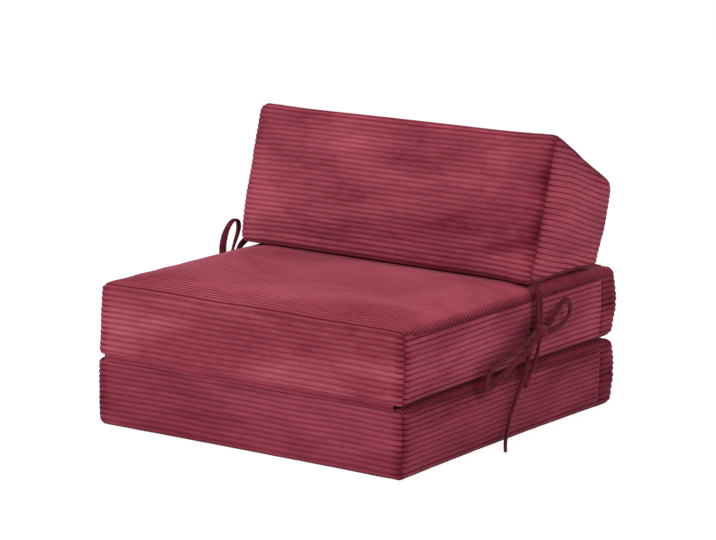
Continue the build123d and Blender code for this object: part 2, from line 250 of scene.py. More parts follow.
def hump(place, half):
    """A parabola that is 0 at both ends of a run and 1 at its middle"""
    return np.clip(1 - ((place - half) / half) ** 2, 0, 1)


def unit(vectors):
    """Vectors of length 1 in the same directions"""
    return vectors / np.maximum(np.linalg.norm(vectors, axis=-1, keepdims=True), 1e-12)


def run_lengths(line):
    """Distance along a line at each of its points"""
    return np.concatenate([[0], np.cumsum(np.linalg.norm(np.diff(line, axis=0), axis=1))])


def resampled(line, least, step):
    """Places at equal steps along a line, and its points there"""
    reached = run_lengths(line)
    places = np.linspace(0, reached[-1], max(least, round(reached[-1] / step)) + 1)
    return places, np.stack([np.interp(places, reached, line[:, axis]) for axis in range(line.shape[1])], -1)


def rib_height(place, flat_top=False):
    """Height of the pile over a rib, from 0 in the groove to 1 on top"""
    return (1 - np.abs(2 * place - 1) ** 3) ** 0.7 if flat_top else np.sin(math.pi * place) ** 0.8


def rib_rows(length):
    """Distances across the ribs of the mesh rows, and each row's rib count"""
    ribs = max(1, round(length / RIB_PITCH))
    counts = np.array([rib + share for rib in range(ribs) for share in RIB_SHARES] + [ribs], float)
    return counts / ribs * length, counts


class Section:
    """Closed outline of a cushion in Y and Z, and the roll of its cloth over both side edges"""

    def __init__(self, corners, radii, half_width, roll, edge_drop, top_drop):
        self.half_width, self.roll = half_width, roll
        self.edge_drop, self.top_drop = edge_drop, top_drop
        corners = [np.array(corner, float) for corner in corners]
        self.spans = []
        count = len(corners)
        tangents = []
        self.reaches = []
        for index, corner in enumerate(corners):
            before = corners[index - 1] - corner
            after = corners[(index + 1) % count] - corner
            before /= np.linalg.norm(before)
            after /= np.linalg.norm(after)
            half = math.acos(np.clip(before @ after, -1, 1)) / 2
            reach = radii[index] / math.tan(half)
            self.reaches.append(reach)
            tangents.append((corner + before * reach, corner + after * reach))
        for index, corner in enumerate(corners):
            start, end = tangents[index]
            following = tangents[(index + 1) % count][0]
            along = (end - corner) / np.linalg.norm(end - corner)
            outward = np.array([-along[1], along[0]])
            inward_edge = (corner - start) / np.linalg.norm(corner - start)
            outward_before = np.array([-inward_edge[1], inward_edge[0]])
            angle_start = math.atan2(outward_before[1], outward_before[0])
            turn = math.atan2(
                outward_before[0] * outward[1] - outward_before[1] * outward[0], outward_before @ outward
            )
            centre = start - outward_before * radii[index]
            self.spans.append(("arc", centre, radii[index], angle_start, turn, abs(turn) * radii[index]))
            self.spans.append(("line", end, following, outward, 0.0, np.linalg.norm(following - end)))
        self.length = sum(span[5] for span in self.spans)

    def read(self, distances):
        """Points and outward normals at distances along the outline"""
        distances = np.mod(np.asarray(distances, float), self.length)
        points = np.zeros(distances.shape + (2,))
        normals = np.zeros_like(points)
        begin = 0.0
        for kind, first, second, third, turn, length in self.spans:
            inside = (distances >= begin) & (distances <= begin + length)
            share = (distances[inside] - begin) / length
            if kind == "arc":
                angle = third + turn * share
                normal = np.stack([np.cos(angle), np.sin(angle)], -1)
                points[inside] = first + normal * second
                normals[inside] = normal
            else:
                points[inside] = first + (second - first) * share[:, None]
                normals[inside] = third
            begin += length
        return points, normals

    def drops(self, distances):
        """How far inside the outline the side seam lies: more over the top than elsewhere"""
        top_begin = sum(span[5] for span in self.spans[:5])
        run = np.mod(np.asarray(distances, float), self.length) - top_begin
        return self.edge_drop + (self.top_drop - self.edge_drop) * ease(run / TOP_DROP_RAMP)

    def turn(self, drop):
        """Angle of the roll at which the cloth has dropped so far"""
        return math.acos((self.roll - drop) / self.roll)


def wrap_grid(section, start, end, rear_rule):
    """Face of a cloth that goes round a section and rolls over both of its side edges"""
    rows, counts = rib_rows(end - start)
    outline, normals = section.read(start + rows)
    roll = section.roll
    cosine = (roll - section.drops(start + rows)) / roll
    if rear_rule:
        rear = normals[:, 0] > 0
        cosine[rear] = cosine[rear] / np.maximum(np.abs(normals[rear, 1]), 1e-6)
    seam = np.arccos(np.clip(cosine, -1, 1))
    flat = section.half_width - roll
    columns = max(2, round(2 * flat / COLUMN_STEP))
    shares = np.linspace(0, 1, ROLL_COLUMNS + 1)[1:]
    edge = np.full(ROLL_COLUMNS, flat)
    place = np.concatenate([-edge, np.linspace(-flat, flat, columns + 1), edge])
    angle = seam[:, None] * np.concatenate([-shares[::-1], np.zeros(columns + 1), shares])[None]
    sine, cosine = np.sin(angle)[..., None], np.cos(angle)[..., None]
    outward = normals[:, None, :]
    x = (place[None] + roll * sine[..., 0])[..., None]
    points = np.concatenate([x, outline[:, None, :] - roll * (1 - cosine) * outward], axis=2)
    facing = np.concatenate([sine, cosine * outward], axis=2)
    border = (seam[:, None] - np.abs(angle)) * roll + np.maximum(0, flat - np.abs(place))[None]
    ends = np.minimum(rows, rows[-1] - rows)
    return points, facing, np.minimum(border, ends[:, None]), counts


def grid_normals(points):
    """Unit normals of a grid, from its own slopes"""
    return unit(np.cross(np.gradient(points, axis=1), np.gradient(points, axis=0)))


def facing_up(facing):
    """How much a surface faces up, from 0 where it slopes by 60 degrees to 1 where it is nearly level"""
    return ease((facing[..., 2] - 0.5) / 0.4)


def shade_marks(border, facing, painted_shade=0.0):
    """How near each point is to a seam, how much it faces up, and how dark a seam's line or the painted shade of
    a fold, an edge or the gap between the blocks makes it
    """
    seam = falloff(border, SEAM_SHADE_WIDTH)
    line = np.maximum(falloff(border, SEAM_LINE_WIDTH), painted_shade)
    return np.stack([seam, facing_up(facing) + 0 * seam, line], -1)


def joint_shade(points):
    """Painted shade in the gap between the blocks at their sides: how dark each point gets for its place there"""
    near = falloff(points[..., 2] - (LOWER_TOP + SEAT_BOTTOM) / 2, JOINT_SHADE_HEIGHT)
    return JOINT_SHADE * near * ease((np.abs(points[..., 0]) - JOINT_SHADE_START) / JOINT_SHADE_RAMP)


def ribbed(points, facing, border, counts, form, seed, depth=RIB_DEPTH):
    """Raises the ribs on a face, sinks it at its seams and lays it on the cushion's form"""
    tangent = unit(np.gradient(points, axis=0))
    calm = 1 - falloff(border, CALM_WIDTH)
    wander = RIB_WANDER * waves(points, WANDER_WAVE, seed) * calm
    near = falloff(border, SEAM_WIDTH)
    crest = rib_height(np.mod(counts, 1.0), depth > RIB_DEPTH)[:, None]
    uneven = 1 + RIB_UNEVENNESS * waves(points, RIB_WAVE, seed + 1)
    stitched = 1 - STITCH_FLATTER * falloff(border, STITCH_WIDTH)
    lift = RIB_TOP - depth * (1 - crest) * uneven * stitched - SEAM_DIP * near
    pucker = falloff(border, PUCKER_WIDTH) * (1 - near)
    lift = lift - PUCKER_DEPTH * pucker * (1 + waves(points, PUCKER_WAVE, seed + 2))
    lift = lift - HOLLOW_DEPTH * (1 - waves(points, HOLLOW_WAVE, seed + 3)) * calm
    return form(points + tangent * wander[..., None] + facing * lift[..., None])


def signed_volume(mesh):
    """Volume inside a closed mesh, below zero where its faces point inwards"""
    mesh.calc_loop_triangles()
    corners = np.zeros(len(mesh.loop_triangles) * 3, int)
    mesh.loop_triangles.foreach_get("vertices", corners)
    spots = np.zeros(len(mesh.vertices) * 3)
    mesh.vertices.foreach_get("co", spots)
    a, b, c = np.moveaxis(spots.reshape(-1, 3)[corners.reshape(-1, 3)], 1, 0)
    return float(np.einsum("ij,ij->i", a, np.cross(b, c)).sum() / 6)


def cloth_mesh(name, vertices, polygons, smooth_count, u, v, marks=None):
    """Closed mesh with its first faces smooth, a map of rib counts and lengths along them, and its shade marks"""
    mesh = bpy.data.meshes.new(name)
    mesh.from_pydata(np.asarray(vertices).tolist(), [], polygons)
    cloth = mesh.uv_layers.new(name="cloth")
    corner_vertices = np.zeros(len(mesh.loops), int)
    mesh.loops.foreach_get("vertex_index", corner_vertices)
    cloth.data.foreach_set("uv", np.stack([u[corner_vertices], v[corner_vertices]], -1).ravel())
    if marks is not None:
        shade = mesh.attributes.new("shade_marks", "FLOAT_VECTOR", "POINT")
        shade.data.foreach_set("vector", marks.ravel())
    mesh.polygons.foreach_set("use_smooth", np.arange(len(mesh.polygons)) < smooth_count)
    if signed_volume(mesh) < 0:
        mesh.flip_normals()
    mesh.update()
    return new_object(name, mesh)


def grid_quads(index):
    """Faces between the neighbours of a grid of vertex numbers"""
    return np.stack([index[:-1, :-1], index[:-1, 1:], index[1:, 1:], index[1:, :-1]], -1).reshape(-1, 4)


def close_cloth(name, face, marks, back_first, back_last, counts, seed, by_row=True):
    """Closed mesh of a cloth: its ribbed face, and a plain back between its first and last rows, or columns"""
    rows, columns = face.shape[:2]
    index = np.arange(rows * columns).reshape(rows, columns)
    index = index if by_row else index.T
    first = rows * columns + np.arange(index.shape[1])
    last = first + index.shape[1]
    quads = grid_quads(index)
    rims = [grid_quads(np.stack(pair)) for pair in ((first, index[0]), (index[-1], last), (last, first))]
    polygons = np.concatenate([quads, *rims]).tolist()
    polygons.append([*index[:, 0].tolist(), int(last[0]), int(first[0])])
    polygons.append([*index[::-1, -1].tolist(), int(first[-1]), int(last[-1])])

    def with_back(grid):
        """A grid's values on the face, and on the two edges of the back"""
        grid = grid.reshape(rows, columns, -1)
        turned = grid if by_row else grid.swapaxes(0, 1)
        return np.concatenate([grid.reshape(rows * columns, -1), turned[0], turned[-1]])

    lengths = np.zeros((rows, columns))
    lengths[:, 1:] = np.cumsum(np.linalg.norm(np.diff(face, axis=1), axis=2), axis=1)
    u = with_back(np.repeat(counts[:, None], columns, axis=1)).ravel()
    v = with_back(lengths).ravel() + CLOTH_SHIFT * seed
    vertices = np.concatenate([face.reshape(-1, 3), back_first, back_last])
    return cloth_mesh(name, vertices, polygons, len(quads), u, v, with_back(marks))


def wrap_piece(name, section, start, end, rear_rule, form, seed, creases=(), paint_edge_shade=False):
    """Padded body of a cushion with its wrap cloth, closed inside the seams"""
    points, facing, border, counts = wrap_grid(section, start, end, rear_rule)
    rows = counts / counts[-1] * (end - start) + start
    creased = sum(falloff(rows - crease, CREASE_WIDTH) for crease in creases) + 0 * rows
    points = points - CREASE_DEPTH * creased[:, None, None] * facing
    # Painted shade along the creases
    marks = shade_marks(border, facing, CREASE_SHADE * creased[:, None])
    # Painted shade on rolled edges that face up and in the gap between the blocks at their sides
    if paint_edge_shade:
        up = facing_up(facing[:, facing.shape[1] // 2])[:, None]
        rolled = ease((np.abs(points[..., 0]) - section.half_width + section.roll) / section.roll)
        marks[..., 2] = np.maximum(marks[..., 2], np.maximum(EDGE_SHADE * up * rolled, joint_shade(points)))
    marks = np.concatenate([marks[:, :1], marks, marks[:, -1:]], axis=1)
    face = ribbed(points, facing, border, counts, form, seed)
    flanges = []
    for column, sign in ((0, -1), (-1, 1)):
        edge = face[:, column] - FLANGE_DROP * facing[:, column] * np.array([0, 1, 1])
        edge[:, 0] -= sign * FLANGE
        flanges.append(edge[:, None])
    face = np.concatenate([flanges[0], face, flanges[1]], axis=1)
    facing = np.concatenate([facing[:, :1], facing, facing[:, -1:]], axis=1)
    back_first, back_last = face[0] - FLANGE * facing[0], face[-1] - FLANGE * facing[-1]
    return close_cloth(name, face, marks, back_first, back_last, counts, seed)


def side_piece(name, sign, section, row_axis, rear_limit, form, seed):
    """Side panel inside the seam of a section, with its ribs along row_axis"""
    distances = np.linspace(0, section.length, OUTLINE_SAMPLES + 1)[:-1]
    outline, normals = section.read(distances)
    inset = section.drops(distances) - SIDE_INSET
    seam_line = outline - normals * inset[:, None]
    axis = np.array(row_axis, float)
    stack = np.array([-axis[1], axis[0]])
    u_line, v_line = seam_line @ axis, seam_line @ stack
    low, high = v_line.min() + SIDE_END_ROOM, v_line.max() - SIDE_END_ROOM
    rows, counts = rib_rows(high - low)
    columns = max(4, round((u_line.max() - u_line.min()) / COLUMN_STEP))
    closed_u, closed_v = np.append(u_line, u_line[0]), np.append(v_line, v_line[0])
    shares = 0.5 - 0.5 * np.cos(np.linspace(0, math.pi, columns + 1))
    shares = 0.5 * shares + 0.5 * np.linspace(0, 1, columns + 1)
    grid = []
    for height in low + rows:
        above = closed_v >= height
        crossing = np.nonzero(above[:-1] != above[1:])[0]
        share = (height - closed_v[crossing]) / (closed_v[crossing + 1] - closed_v[crossing])
        crossed = closed_u[crossing] + share * (closed_u[crossing + 1] - closed_u[crossing])
        start, end = crossed.min(), crossed.max()
        if rear_limit is not None:
            end = min(end, rear_limit)
        grid.append((start + shares * (end - start))[:, None] * axis + height * stack)
    grid = np.array(grid)
    away = np.linalg.norm(grid.reshape(-1, 1, 2) - outline[None], axis=2)
    nearest = away.argmin(1)
    gap = away[np.arange(len(away)), nearest].reshape(grid.shape[:2])
    over = np.clip(section.roll - gap, 0, section.roll)
    x = sign * (section.half_width - section.roll + np.sqrt(section.roll ** 2 - over ** 2))
    points = np.concatenate([x[..., None], grid], axis=2)
    facing = grid_normals(points)
    facing *= np.sign(facing[..., :1] * sign)
    border = np.maximum(gap - inset[nearest].reshape(gap.shape), 0)
    if rear_limit is not None:
        border = np.minimum(border, rear_limit - grid @ axis)
    face = ribbed(points, facing, border, counts, form, seed, SIDE_RIB_DEPTH)
    # Painted shade in the gap between the blocks
    marks = shade_marks(border, facing, joint_shade(points))
    inward = np.array([-sign * PANEL_DEPTH, 0, 0])
    return close_cloth(name, face, marks, face[:, 0] + inward, face[:, -1] + inward, counts, seed, False)


def boxing_strip(name, section, bottom, top, zip_z, above, form, seed):
    """Half of the rear strip, above or below the zip, from one side round both rear corners to the other"""
    roll = section.roll
    inner_x, inner_y = section.half_width - roll, REAR_Y - roll
    straight = inner_y - (REAR_Y - BOXING_WRAP)
    quarter = math.pi / 2 * roll
    total = 2 * (straight + quarter + inner_x)
    distances = np.linspace(BOXING_FIRST_STEP, total - BOXING_FIRST_STEP, round(total / COLUMN_STEP) + 1)
    distances = np.concatenate([[0], distances, [total]])
    places, outward = [], []
    for distance in distances:
        flip = -1 if distance > total / 2 else 1
        run = min(distance, total - distance)
        if run < straight:
            place, normal = (inner_x, REAR_Y - BOXING_WRAP + run), (1.0, 0.0)
        elif run < straight + quarter:
            turn = (run - straight) / roll
            place, normal = (inner_x, inner_y), (math.cos(turn), math.sin(turn))
        else:
            place, normal = (inner_x - (run - straight - quarter), inner_y), (0.0, 1.0)
        places.append((flip * place[0], place[1]))
        outward.append((flip * normal[0], normal[1]))
    places, outward = np.array(places), np.array(outward)
    places[[0, -1]] -= BOXING_TUCK * outward[[0, -1]]
    run = np.minimum(distances, total - distances)
    half_slot = ZIP_SLOT / 2 * ease((run - straight - SLOT_START * quarter) / ZIP_END_RAMP)
    low = np.full(len(distances), bottom + section.edge_drop - BOXING_OVERLAP)
    high = np.full(len(distances), top - section.top_drop + BOXING_OVERLAP)
    if above:
        low = zip_z + half_slot
    else:
        high = zip_z - half_slot
    rows, counts = rib_rows((high - low).mean())
    heights = low[None] + (rows / rows[-1])[:, None] * (high - low)[None]
    over = np.clip(heights - (top - roll), 0, roll) - np.clip(bottom + roll - heights, 0, roll)
    sine = np.clip(over / roll, -0.999, 0.999)
    cosine = np.sqrt(1 - sine ** 2)
    facing = np.concatenate([outward[None] * cosine[..., None], sine[..., None]], axis=2)
    points = np.concatenate([places[None] + roll * facing[..., :2], heights[..., None]], axis=2)
    border = np.minimum(np.minimum(rows, rows[-1] - rows)[:, None], run[None])
    face = ribbed(points, facing, border, counts, form, seed)
    inward = np.concatenate([-outward * PANEL_DEPTH, np.zeros((len(distances), 1))], axis=1)
    marks = shade_marks(border, facing)
    return close_cloth(name, face, marks, face[0] + inward, face[-1] + inward, counts, seed)


def join_pieces(name, pieces):
    """One object from several, under a new name"""
    bpy.ops.object.select_all(action="DESELECT")
    for piece in pieces:
        piece.select_set(True)
    bpy.context.view_layer.objects.active = pieces[0]
    bpy.ops.object.join()
    pieces[0].name = name
    pieces[0].data.name = name
    return pieces[0]


def block_form(edge_low, edge_high, crown, under_crown, floor_z, ceiling_z, free_from, settle):
    """The lie of a block: domed top, drawn-in front, bulged sides, flat where it rests"""
    middle_y = (FRONT_Y + REAR_Y) / 2
    half_depth = (REAR_Y - FRONT_Y) / 2

    def lay(points):
        laid = points + settle(points)
        x, y, z = points[..., 0], points[..., 1], points[..., 2]
        height = np.clip((z - edge_low) / (edge_high - edge_low), 0, 1)
        up = ease(height)
        across = np.clip(x / HALF_WIDTH, -1, 1)
        along = np.clip((y - middle_y) / half_depth, -1, 1)
        dome = rise(HALF_WIDTH - np.abs(x)) * rise(half_depth - np.abs(y - middle_y))
        free = ease((free_from - y) / CEILING_RAMP)
        laid[..., 2] += (crown - RIB_ROOM * (1 - free)) * dome * up
        laid[..., 2] -= max(under_crown - RIB_ROOM, 0) * dome * (1 - up)
        front = ease((-along - EDGE_ZONE) / (1 - EDGE_ZONE))
        laid[..., 1] += (FRONT_SET_BACK + DRAW_IN * (1 - across ** 2)) * front
        side = ease((np.abs(across) - EDGE_ZONE) / (1 - EDGE_ZONE))
        bulge = SIDE_BULGE * 4 * height * (1 - height)
        laid[..., 0] += np.sign(x) * (bulge - DRAW_IN * (1 - along ** 2)) * side
        laid[..., 2] = np.maximum(laid[..., 2], floor_z)
        laid[..., 2] = np.minimum(laid[..., 2], ceiling_z + CEILING_RISE * free)
        return laid

    return lay


def make_block(name, edge_low, edge_high, radii, zip_z, form, seed):
    """Pieces of a block's cover and padding"""
    corners = [(REAR_Y, edge_low), (FRONT_Y, edge_low), (FRONT_Y, edge_high), (REAR_Y, edge_high)]
    section = Section(corners, radii, HALF_WIDTH, BLOCK_ROLL, BLOCK_EDGE_DROP, BLOCK_TOP_DROP[name])
    rear_face = section.spans[-1][5]
    corner = math.pi / 2 * section.roll
    start = corner - section.turn(section.edge_drop) * section.roll
    end = section.length - rear_face - corner + section.turn(section.top_drop) * section.roll
    front_top = sum(span[5] for span in section.spans[:4])
    creases = [front_top + crease for crease in EDGE_CREASES] if name == "seat" else []
    wrap = wrap_piece(f"{name}_wrap", section, start, end, True, form, seed, creases, True)
    side_end = REAR_Y - BOXING_WRAP + SIDE_UNDER_BOXING
    sides = [
        side_piece(f"{name}_side_{word}", sign, section, (1, 0), side_end, form, seed + 10 + sign)
        for word, sign in (("left", -1), ("right", 1))
    ]
    strips = [
        boxing_strip(f"{name}_strip_{above}", section, edge_low, edge_high, zip_z, above, form, seed + 20 + above)
        for above in (0, 1)
    ]
    return wrap, sides, join_pieces(f"{name}_boxing", strips)


def mesh_spots(mesh):
    """Places of a mesh's vertices"""
    spots = np.zeros(len(mesh.vertices) * 3)
    mesh.vertices.foreach_get("co", spots)
    return spots.reshape(-1, 3)


def made_mesh(piece):
    """Plain mesh of an object with its modifiers or its curve worked out"""
    return bpy.data.meshes.new_from_object(piece.evaluated_get(bpy.context.evaluated_depsgraph_get()))


def filled_tree(spots):
    """Search tree of places"""
    tree = kdtree.KDTree(len(spots))
    for index, spot in enumerate(spots):
        tree.insert(spot, index)
    tree.balance()
    return tree


def nearby_mean(tree, spot, count, values, width, from_nearest=False):
    """Mean of the values nearest a place, those further away weighing less"""
    found = tree.find_n(spot, count)
    nearest = found[0][2] if from_nearest else 0.0
    weight = np.array([math.exp(-(((distance - nearest) / width) ** 2)) for _, _, distance in found])
    return weight @ values[[item[1] for item in found]] / weight.sum()


def settled_cloth(name, seed):
    """Displacement of a cushion's cover that a short pressure simulation of its padding gives"""
    most = SETTLED_MOST[name]
    pad = new_object(f"{name}_foam_core_pad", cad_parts[f"{name}_foam_core"].data.copy())
    remesh = pad.modifiers.new("remesh", "REMESH")
    remesh.mode = "VOXEL"
    remesh.voxel_size = PAD_VOXEL
    smooth = made_mesh(pad)
    pad.modifiers.remove(remesh)
    pad.data = smooth
    before = mesh_spots(smooth)
    uneven = PAD_UNEVENNESS * waves(before, PAD_WAVE, seed)
    centre = (before.max(0) + before.min(0)) / 2
    before = before + (before - centre) / np.maximum(np.ptp(before, axis=0), 1e-6) * uneven[:, None]
    smooth.vertices.foreach_set("co", before.ravel())
    smooth.update()
    cloth = pad.modifiers.new("cloth", "CLOTH")
    cloth.settings.quality = 5
    cloth.settings.mass = 0.25
    cloth.settings.tension_stiffness = 12
    cloth.settings.compression_stiffness = 12
    cloth.settings.bending_stiffness = 0.4
    cloth.settings.use_pressure = True
    cloth.settings.uniform_pressure_force = 4
    cloth.settings.effector_weights.gravity = 0
    cloth.point_cache.frame_start = 1
    cloth.point_cache.frame_end = PAD_FRAMES
    scene = bpy.context.scene
    for number in range(1, PAD_FRAMES + 1):
        scene.frame_set(number)
    swollen = made_mesh(pad)
    moved = mesh_spots(swollen) - before
    scene.frame_set(1)
    bpy.data.objects.remove(pad)
    bpy.data.meshes.remove(smooth)
    bpy.data.meshes.remove(swollen)
    size = np.linalg.norm(moved, axis=1, keepdims=True)
    moved = moved * (most * np.tanh(size / most) / np.maximum(size, 1e-9))
    pad_tree = filled_tree(before)

    def settle(points):
        flat = points.reshape(-1, 3)
        cells = np.unique(np.round(flat / SETTLE_CELL).astype(int), axis=0) * SETTLE_CELL
        spread = [nearby_mean(pad_tree, cell, BLUR_NEIGHBOURS, moved, SETTLE_BLUR, True) for cell in cells]
        spread = np.array(spread)
        cell_tree = filled_tree(cells)
        smoothed = np.array([nearby_mean(cell_tree, spot, CELL_NEIGHBOURS, spread, SETTLE_CELL) for spot in flat])
        return smoothed.reshape(points.shape)

    return settle


def held_cloth(settle, seams):
    """The settling without what it does near seams along X, given by their Y and Z"""

    def held(points):
        share = np.ones(points.shape[:-1])
        for y, z in seams:
            share = share * (1 - falloff(np.hypot(points[..., 1] - y, points[..., 2] - z), HELD_REACH))
        return settle(points) * share[..., None]

    return held


def make_camera():
    """Camera at the photograph's place and angle"""
    yaw, pitch, roll = (math.radians(angle) for angle in CAMERA_TURN)
    forward = Vector((math.sin(yaw) * math.cos(pitch), math.cos(yaw) * math.cos(pitch), math.sin(pitch)))
    right = forward.cross(Vector((0, 0, 1))).normalized()
    up = right.cross(forward)
    turned_right = math.cos(roll) * right + math.sin(roll) * up
    turned_up = math.cos(roll) * up - math.sin(roll) * right
    data = bpy.data.cameras.new("camera")
    data.lens = FOCAL_PIXELS * SENSOR_WIDTH / PHOTO_WIDTH
    data.sensor_width = SENSOR_WIDTH
    camera = new_object("camera", data)
    turn = Matrix((turned_right, turned_up, -forward)).transposed()
    camera.matrix_world = Matrix.Translation(CAMERA_PLACE) @ turn.to_4x4()
    bpy.context.scene.camera = camera


def area_lamp(name, place, aim, size, power):
    """Square soft lamp that points at a spot"""
    data = bpy.data.lights.new(name, "AREA")
    data.shape = "SQUARE"
    data.size = size
    data.energy = power
    lamp = new_object(name, data)
    direction = Vector(aim) - Vector(place)
    lamp.matrix_world = Matrix.Translation(place) @ direction.to_track_quat("-Z", "Y").to_matrix().to_4x4()


class Maker:
    """Short ways to add nodes to a tree: an input takes a number, a colour or another node's output"""

    def __init__(self, tree):
        self.nodes, self.links = tree.nodes, tree.links

    def feed(self, socket, value):
        """Links a socket to an output, or sets its value"""
        if isinstance(value, bpy.types.NodeSocket):
            self.links.new(value, socket)
        else:
            socket.default_value = value

    def add(self, kind, inputs=None, **settings):
        """A node with its settings, and its inputs by name or number"""
        node = self.nodes.new(kind)
        for word, value in settings.items():
            setattr(node, word, value)
        for key, value in (inputs or {}).items():
            self.feed(node.inputs[key], value)
        return node

    def math(self, operation, *values, clamp=False):
        inputs = dict(enumerate(values))
        return self.add("ShaderNodeMath", inputs, operation=operation, use_clamp=clamp).outputs[0]

    def plus(self, first, second):
        return self.math("ADD", first, second)

    def minus(self, first, second):
        return self.math("SUBTRACT", first, second)

    def times(self, first, second):
        return self.math("MULTIPLY", first, second)

    def vector(self, x=0.0, y=0.0, z=0.0):
        return self.add("ShaderNodeCombineXYZ", {0: x, 1: y, 2: z}).outputs[0]

    def parts(self, vector):
        """X, Y and Z of a vector"""
        return self.add("ShaderNodeSeparateXYZ", {0: vector}).outputs[:3]

    def mix(self, share, first, second, blend="MIX"):
        """One colour over another, by a share"""
        colours = [(*colour, 1) if isinstance(colour, tuple) else colour for colour in (first, second)]
        inputs = {0: share, 6: colours[0], 7: colours[1]}
        return self.add("ShaderNodeMix", inputs, data_type="RGBA", blend_type=blend).outputs[2]

    def noise(self, vector, scale, detail, distortion=0.0):
        inputs = {"Vector": vector, "Scale": scale, "Detail": detail, "Distortion": distortion}
        return self.add("ShaderNodeTexNoise", inputs).outputs["Fac"]

    def object_place(self):
        return self.add("ShaderNodeTexCoord").outputs["Object"]

    def relief(self, height, strength, distance):
        """Normal of a surface with a fine relief"""
        inputs = {"Height": height, "Strength": strength, "Distance": distance}
        return self.add("ShaderNodeBump", inputs).outputs[0]

    def seen_rays(self):
        """Light Path's camera, glossy and transmission rays as one mask"""
        rays = self.add("ShaderNodeLightPath").outputs
        either = self.math("MAXIMUM", rays["Is Camera Ray"], rays["Is Glossy Ray"])
        return self.math("MAXIMUM", either, rays["Is Transmission Ray"])


def new_material(name):
    """A material, the maker of its nodes and the inputs of its shader"""
    material = bpy.data.materials.new(name)
    material.use_nodes = True
    return material, Maker(material.node_tree), material.node_tree.nodes["Principled BSDF"].inputs


def paint(piece, material):
    """Gives a piece one material"""
    piece.data.materials.clear()
    piece.data.materials.append(material)


def make_studio():
    """Pale floor, soft lamps and a white surround"""
    world = bpy.data.worlds.new("studio")
    bpy.context.scene.world = world
    world.use_nodes = True
    make = Maker(world.node_tree)
    surround = make.nodes["Background"].inputs
    surround["Color"].default_value = (1, 1, 1, 1)
    strength = make.add("ShaderNodeMix", {0: make.seen_rays(), 2: SURROUND_LIGHT, 3: 1.0}, data_type="FLOAT")
    make.feed(surround["Strength"], strength.outputs[0])

    mesh = bpy.data.meshes.new("floor")
    signs = ((-1, -1), (1, -1), (1, 1), (-1, 1))
    mesh.from_pydata([(x * FLOOR_REACH, y * FLOOR_REACH, FLOOR_HEIGHT) for x, y in signs], [], [(0, 1, 2, 3)])
    floor = new_object("floor", mesh)
    floor_paint, make, shader = new_material("floor_paint")
    shader["Base Color"].default_value = (FLOOR_GREY, FLOOR_GREY, FLOOR_GREY, 1)
    shader["Roughness"].default_value = 0.8
    glow = make.add("ShaderNodeEmission", {"Strength": FLOOR_GLOW}).outputs[0]
    share = make.times(make.seen_rays(), FLOOR_GLOW_SHARE)
    plain = make.nodes["Principled BSDF"].outputs[0]
    blend = make.add("ShaderNodeMixShader", {0: share, 1: plain, 2: glow})
    make.feed(make.nodes["Material Output"].inputs["Surface"], blend.outputs[0])
    paint(floor, floor_paint)
    for name, (place, aim, size, power) in LAMPS.items():
        area_lamp(name, place, aim, size, power)
    bpy.context.scene.view_settings.view_transform = "Standard"


LEAN = math.atan2((BACK_FRONT_LENGTH - BACK_REAR_LENGTH) / 2, BACK_THICKNESS)
BACK_UP = np.array([math.sin(LEAN), math.cos(LEAN)])
BACK_OUT = np.array([math.cos(LEAN), -math.sin(LEAN)])
REAR_LOW = np.array([REAR_Y - BACK_SETBACK, back_low.z])
FRONT_LOW = REAR_LOW - np.array([(BACK_THICKNESS + BACK_PLUMP) / math.cos(LEAN), 0])
FRONT_TOP = FRONT_LOW + BACK_FRONT_LENGTH * BACK_UP
REAR_TOP = REAR_LOW + BACK_REAR_LENGTH * BACK_UP


def back_form(settle):
    """The lie of the back cushion: bulged front and top, flat bottom"""
    top_run = REAR_TOP - FRONT_TOP
    top_along = top_run / np.linalg.norm(top_run)
    top_out = np.array([-top_along[1], top_along[0]])
    half_top = np.linalg.norm(top_run) / 2

    def lay(points):
        laid = points + settle(points)
        spots = points[..., 1:]
        depth = (spots - FRONT_LOW) @ BACK_OUT
        height = (spots - FRONT_LOW) @ BACK_UP
        across = np.clip(np.abs(points[..., 0]) / HALF_WIDTH, 0, 1)
        ends = 1 - BACK_END_CALM * across ** 6
        swell = BACK_FRONT_BULGE * hump(height, BACK_FRONT_LENGTH / 2) * ends * ease(1 - depth / BACK_FRONT_REACH)
        laid[..., 1:] -= swell[..., None] * BACK_OUT
        along = (spots - FRONT_TOP) @ top_along
        below = -(spots - FRONT_TOP) @ top_out
        swell = BACK_TOP_BULGE * hump(along, half_top) * ends * ease(1 - below / BACK_TOP_REACH)
        laid[..., 1:] += swell[..., None] * top_out
        drawn = BACK_CORNER_DRAW * across ** 2 * ease(1 - height / BACK_CORNER_HEIGHT)
        laid[..., 0] -= np.sign(points[..., 0]) * drawn
        plump = 1.0
        for place, (start, run) in ((height, BACK_PLUMP_HEIGHT), (depth, BACK_PLUMP_DEPTH)):
            plump = plump * ease((place - start) / run)
        laid[..., 1:] += plump[..., None] * np.array(BACK_REAR_PLUMP)
        laid[..., 0] += BACK_SHIFT
        laid[..., 2] += BACK_LIFT * points[..., 0] / HALF_WIDTH * ease(height / BACK_FRONT_LENGTH)
        laid[..., 2] = np.maximum(laid[..., 2], back_low.z)
        return laid

    return lay


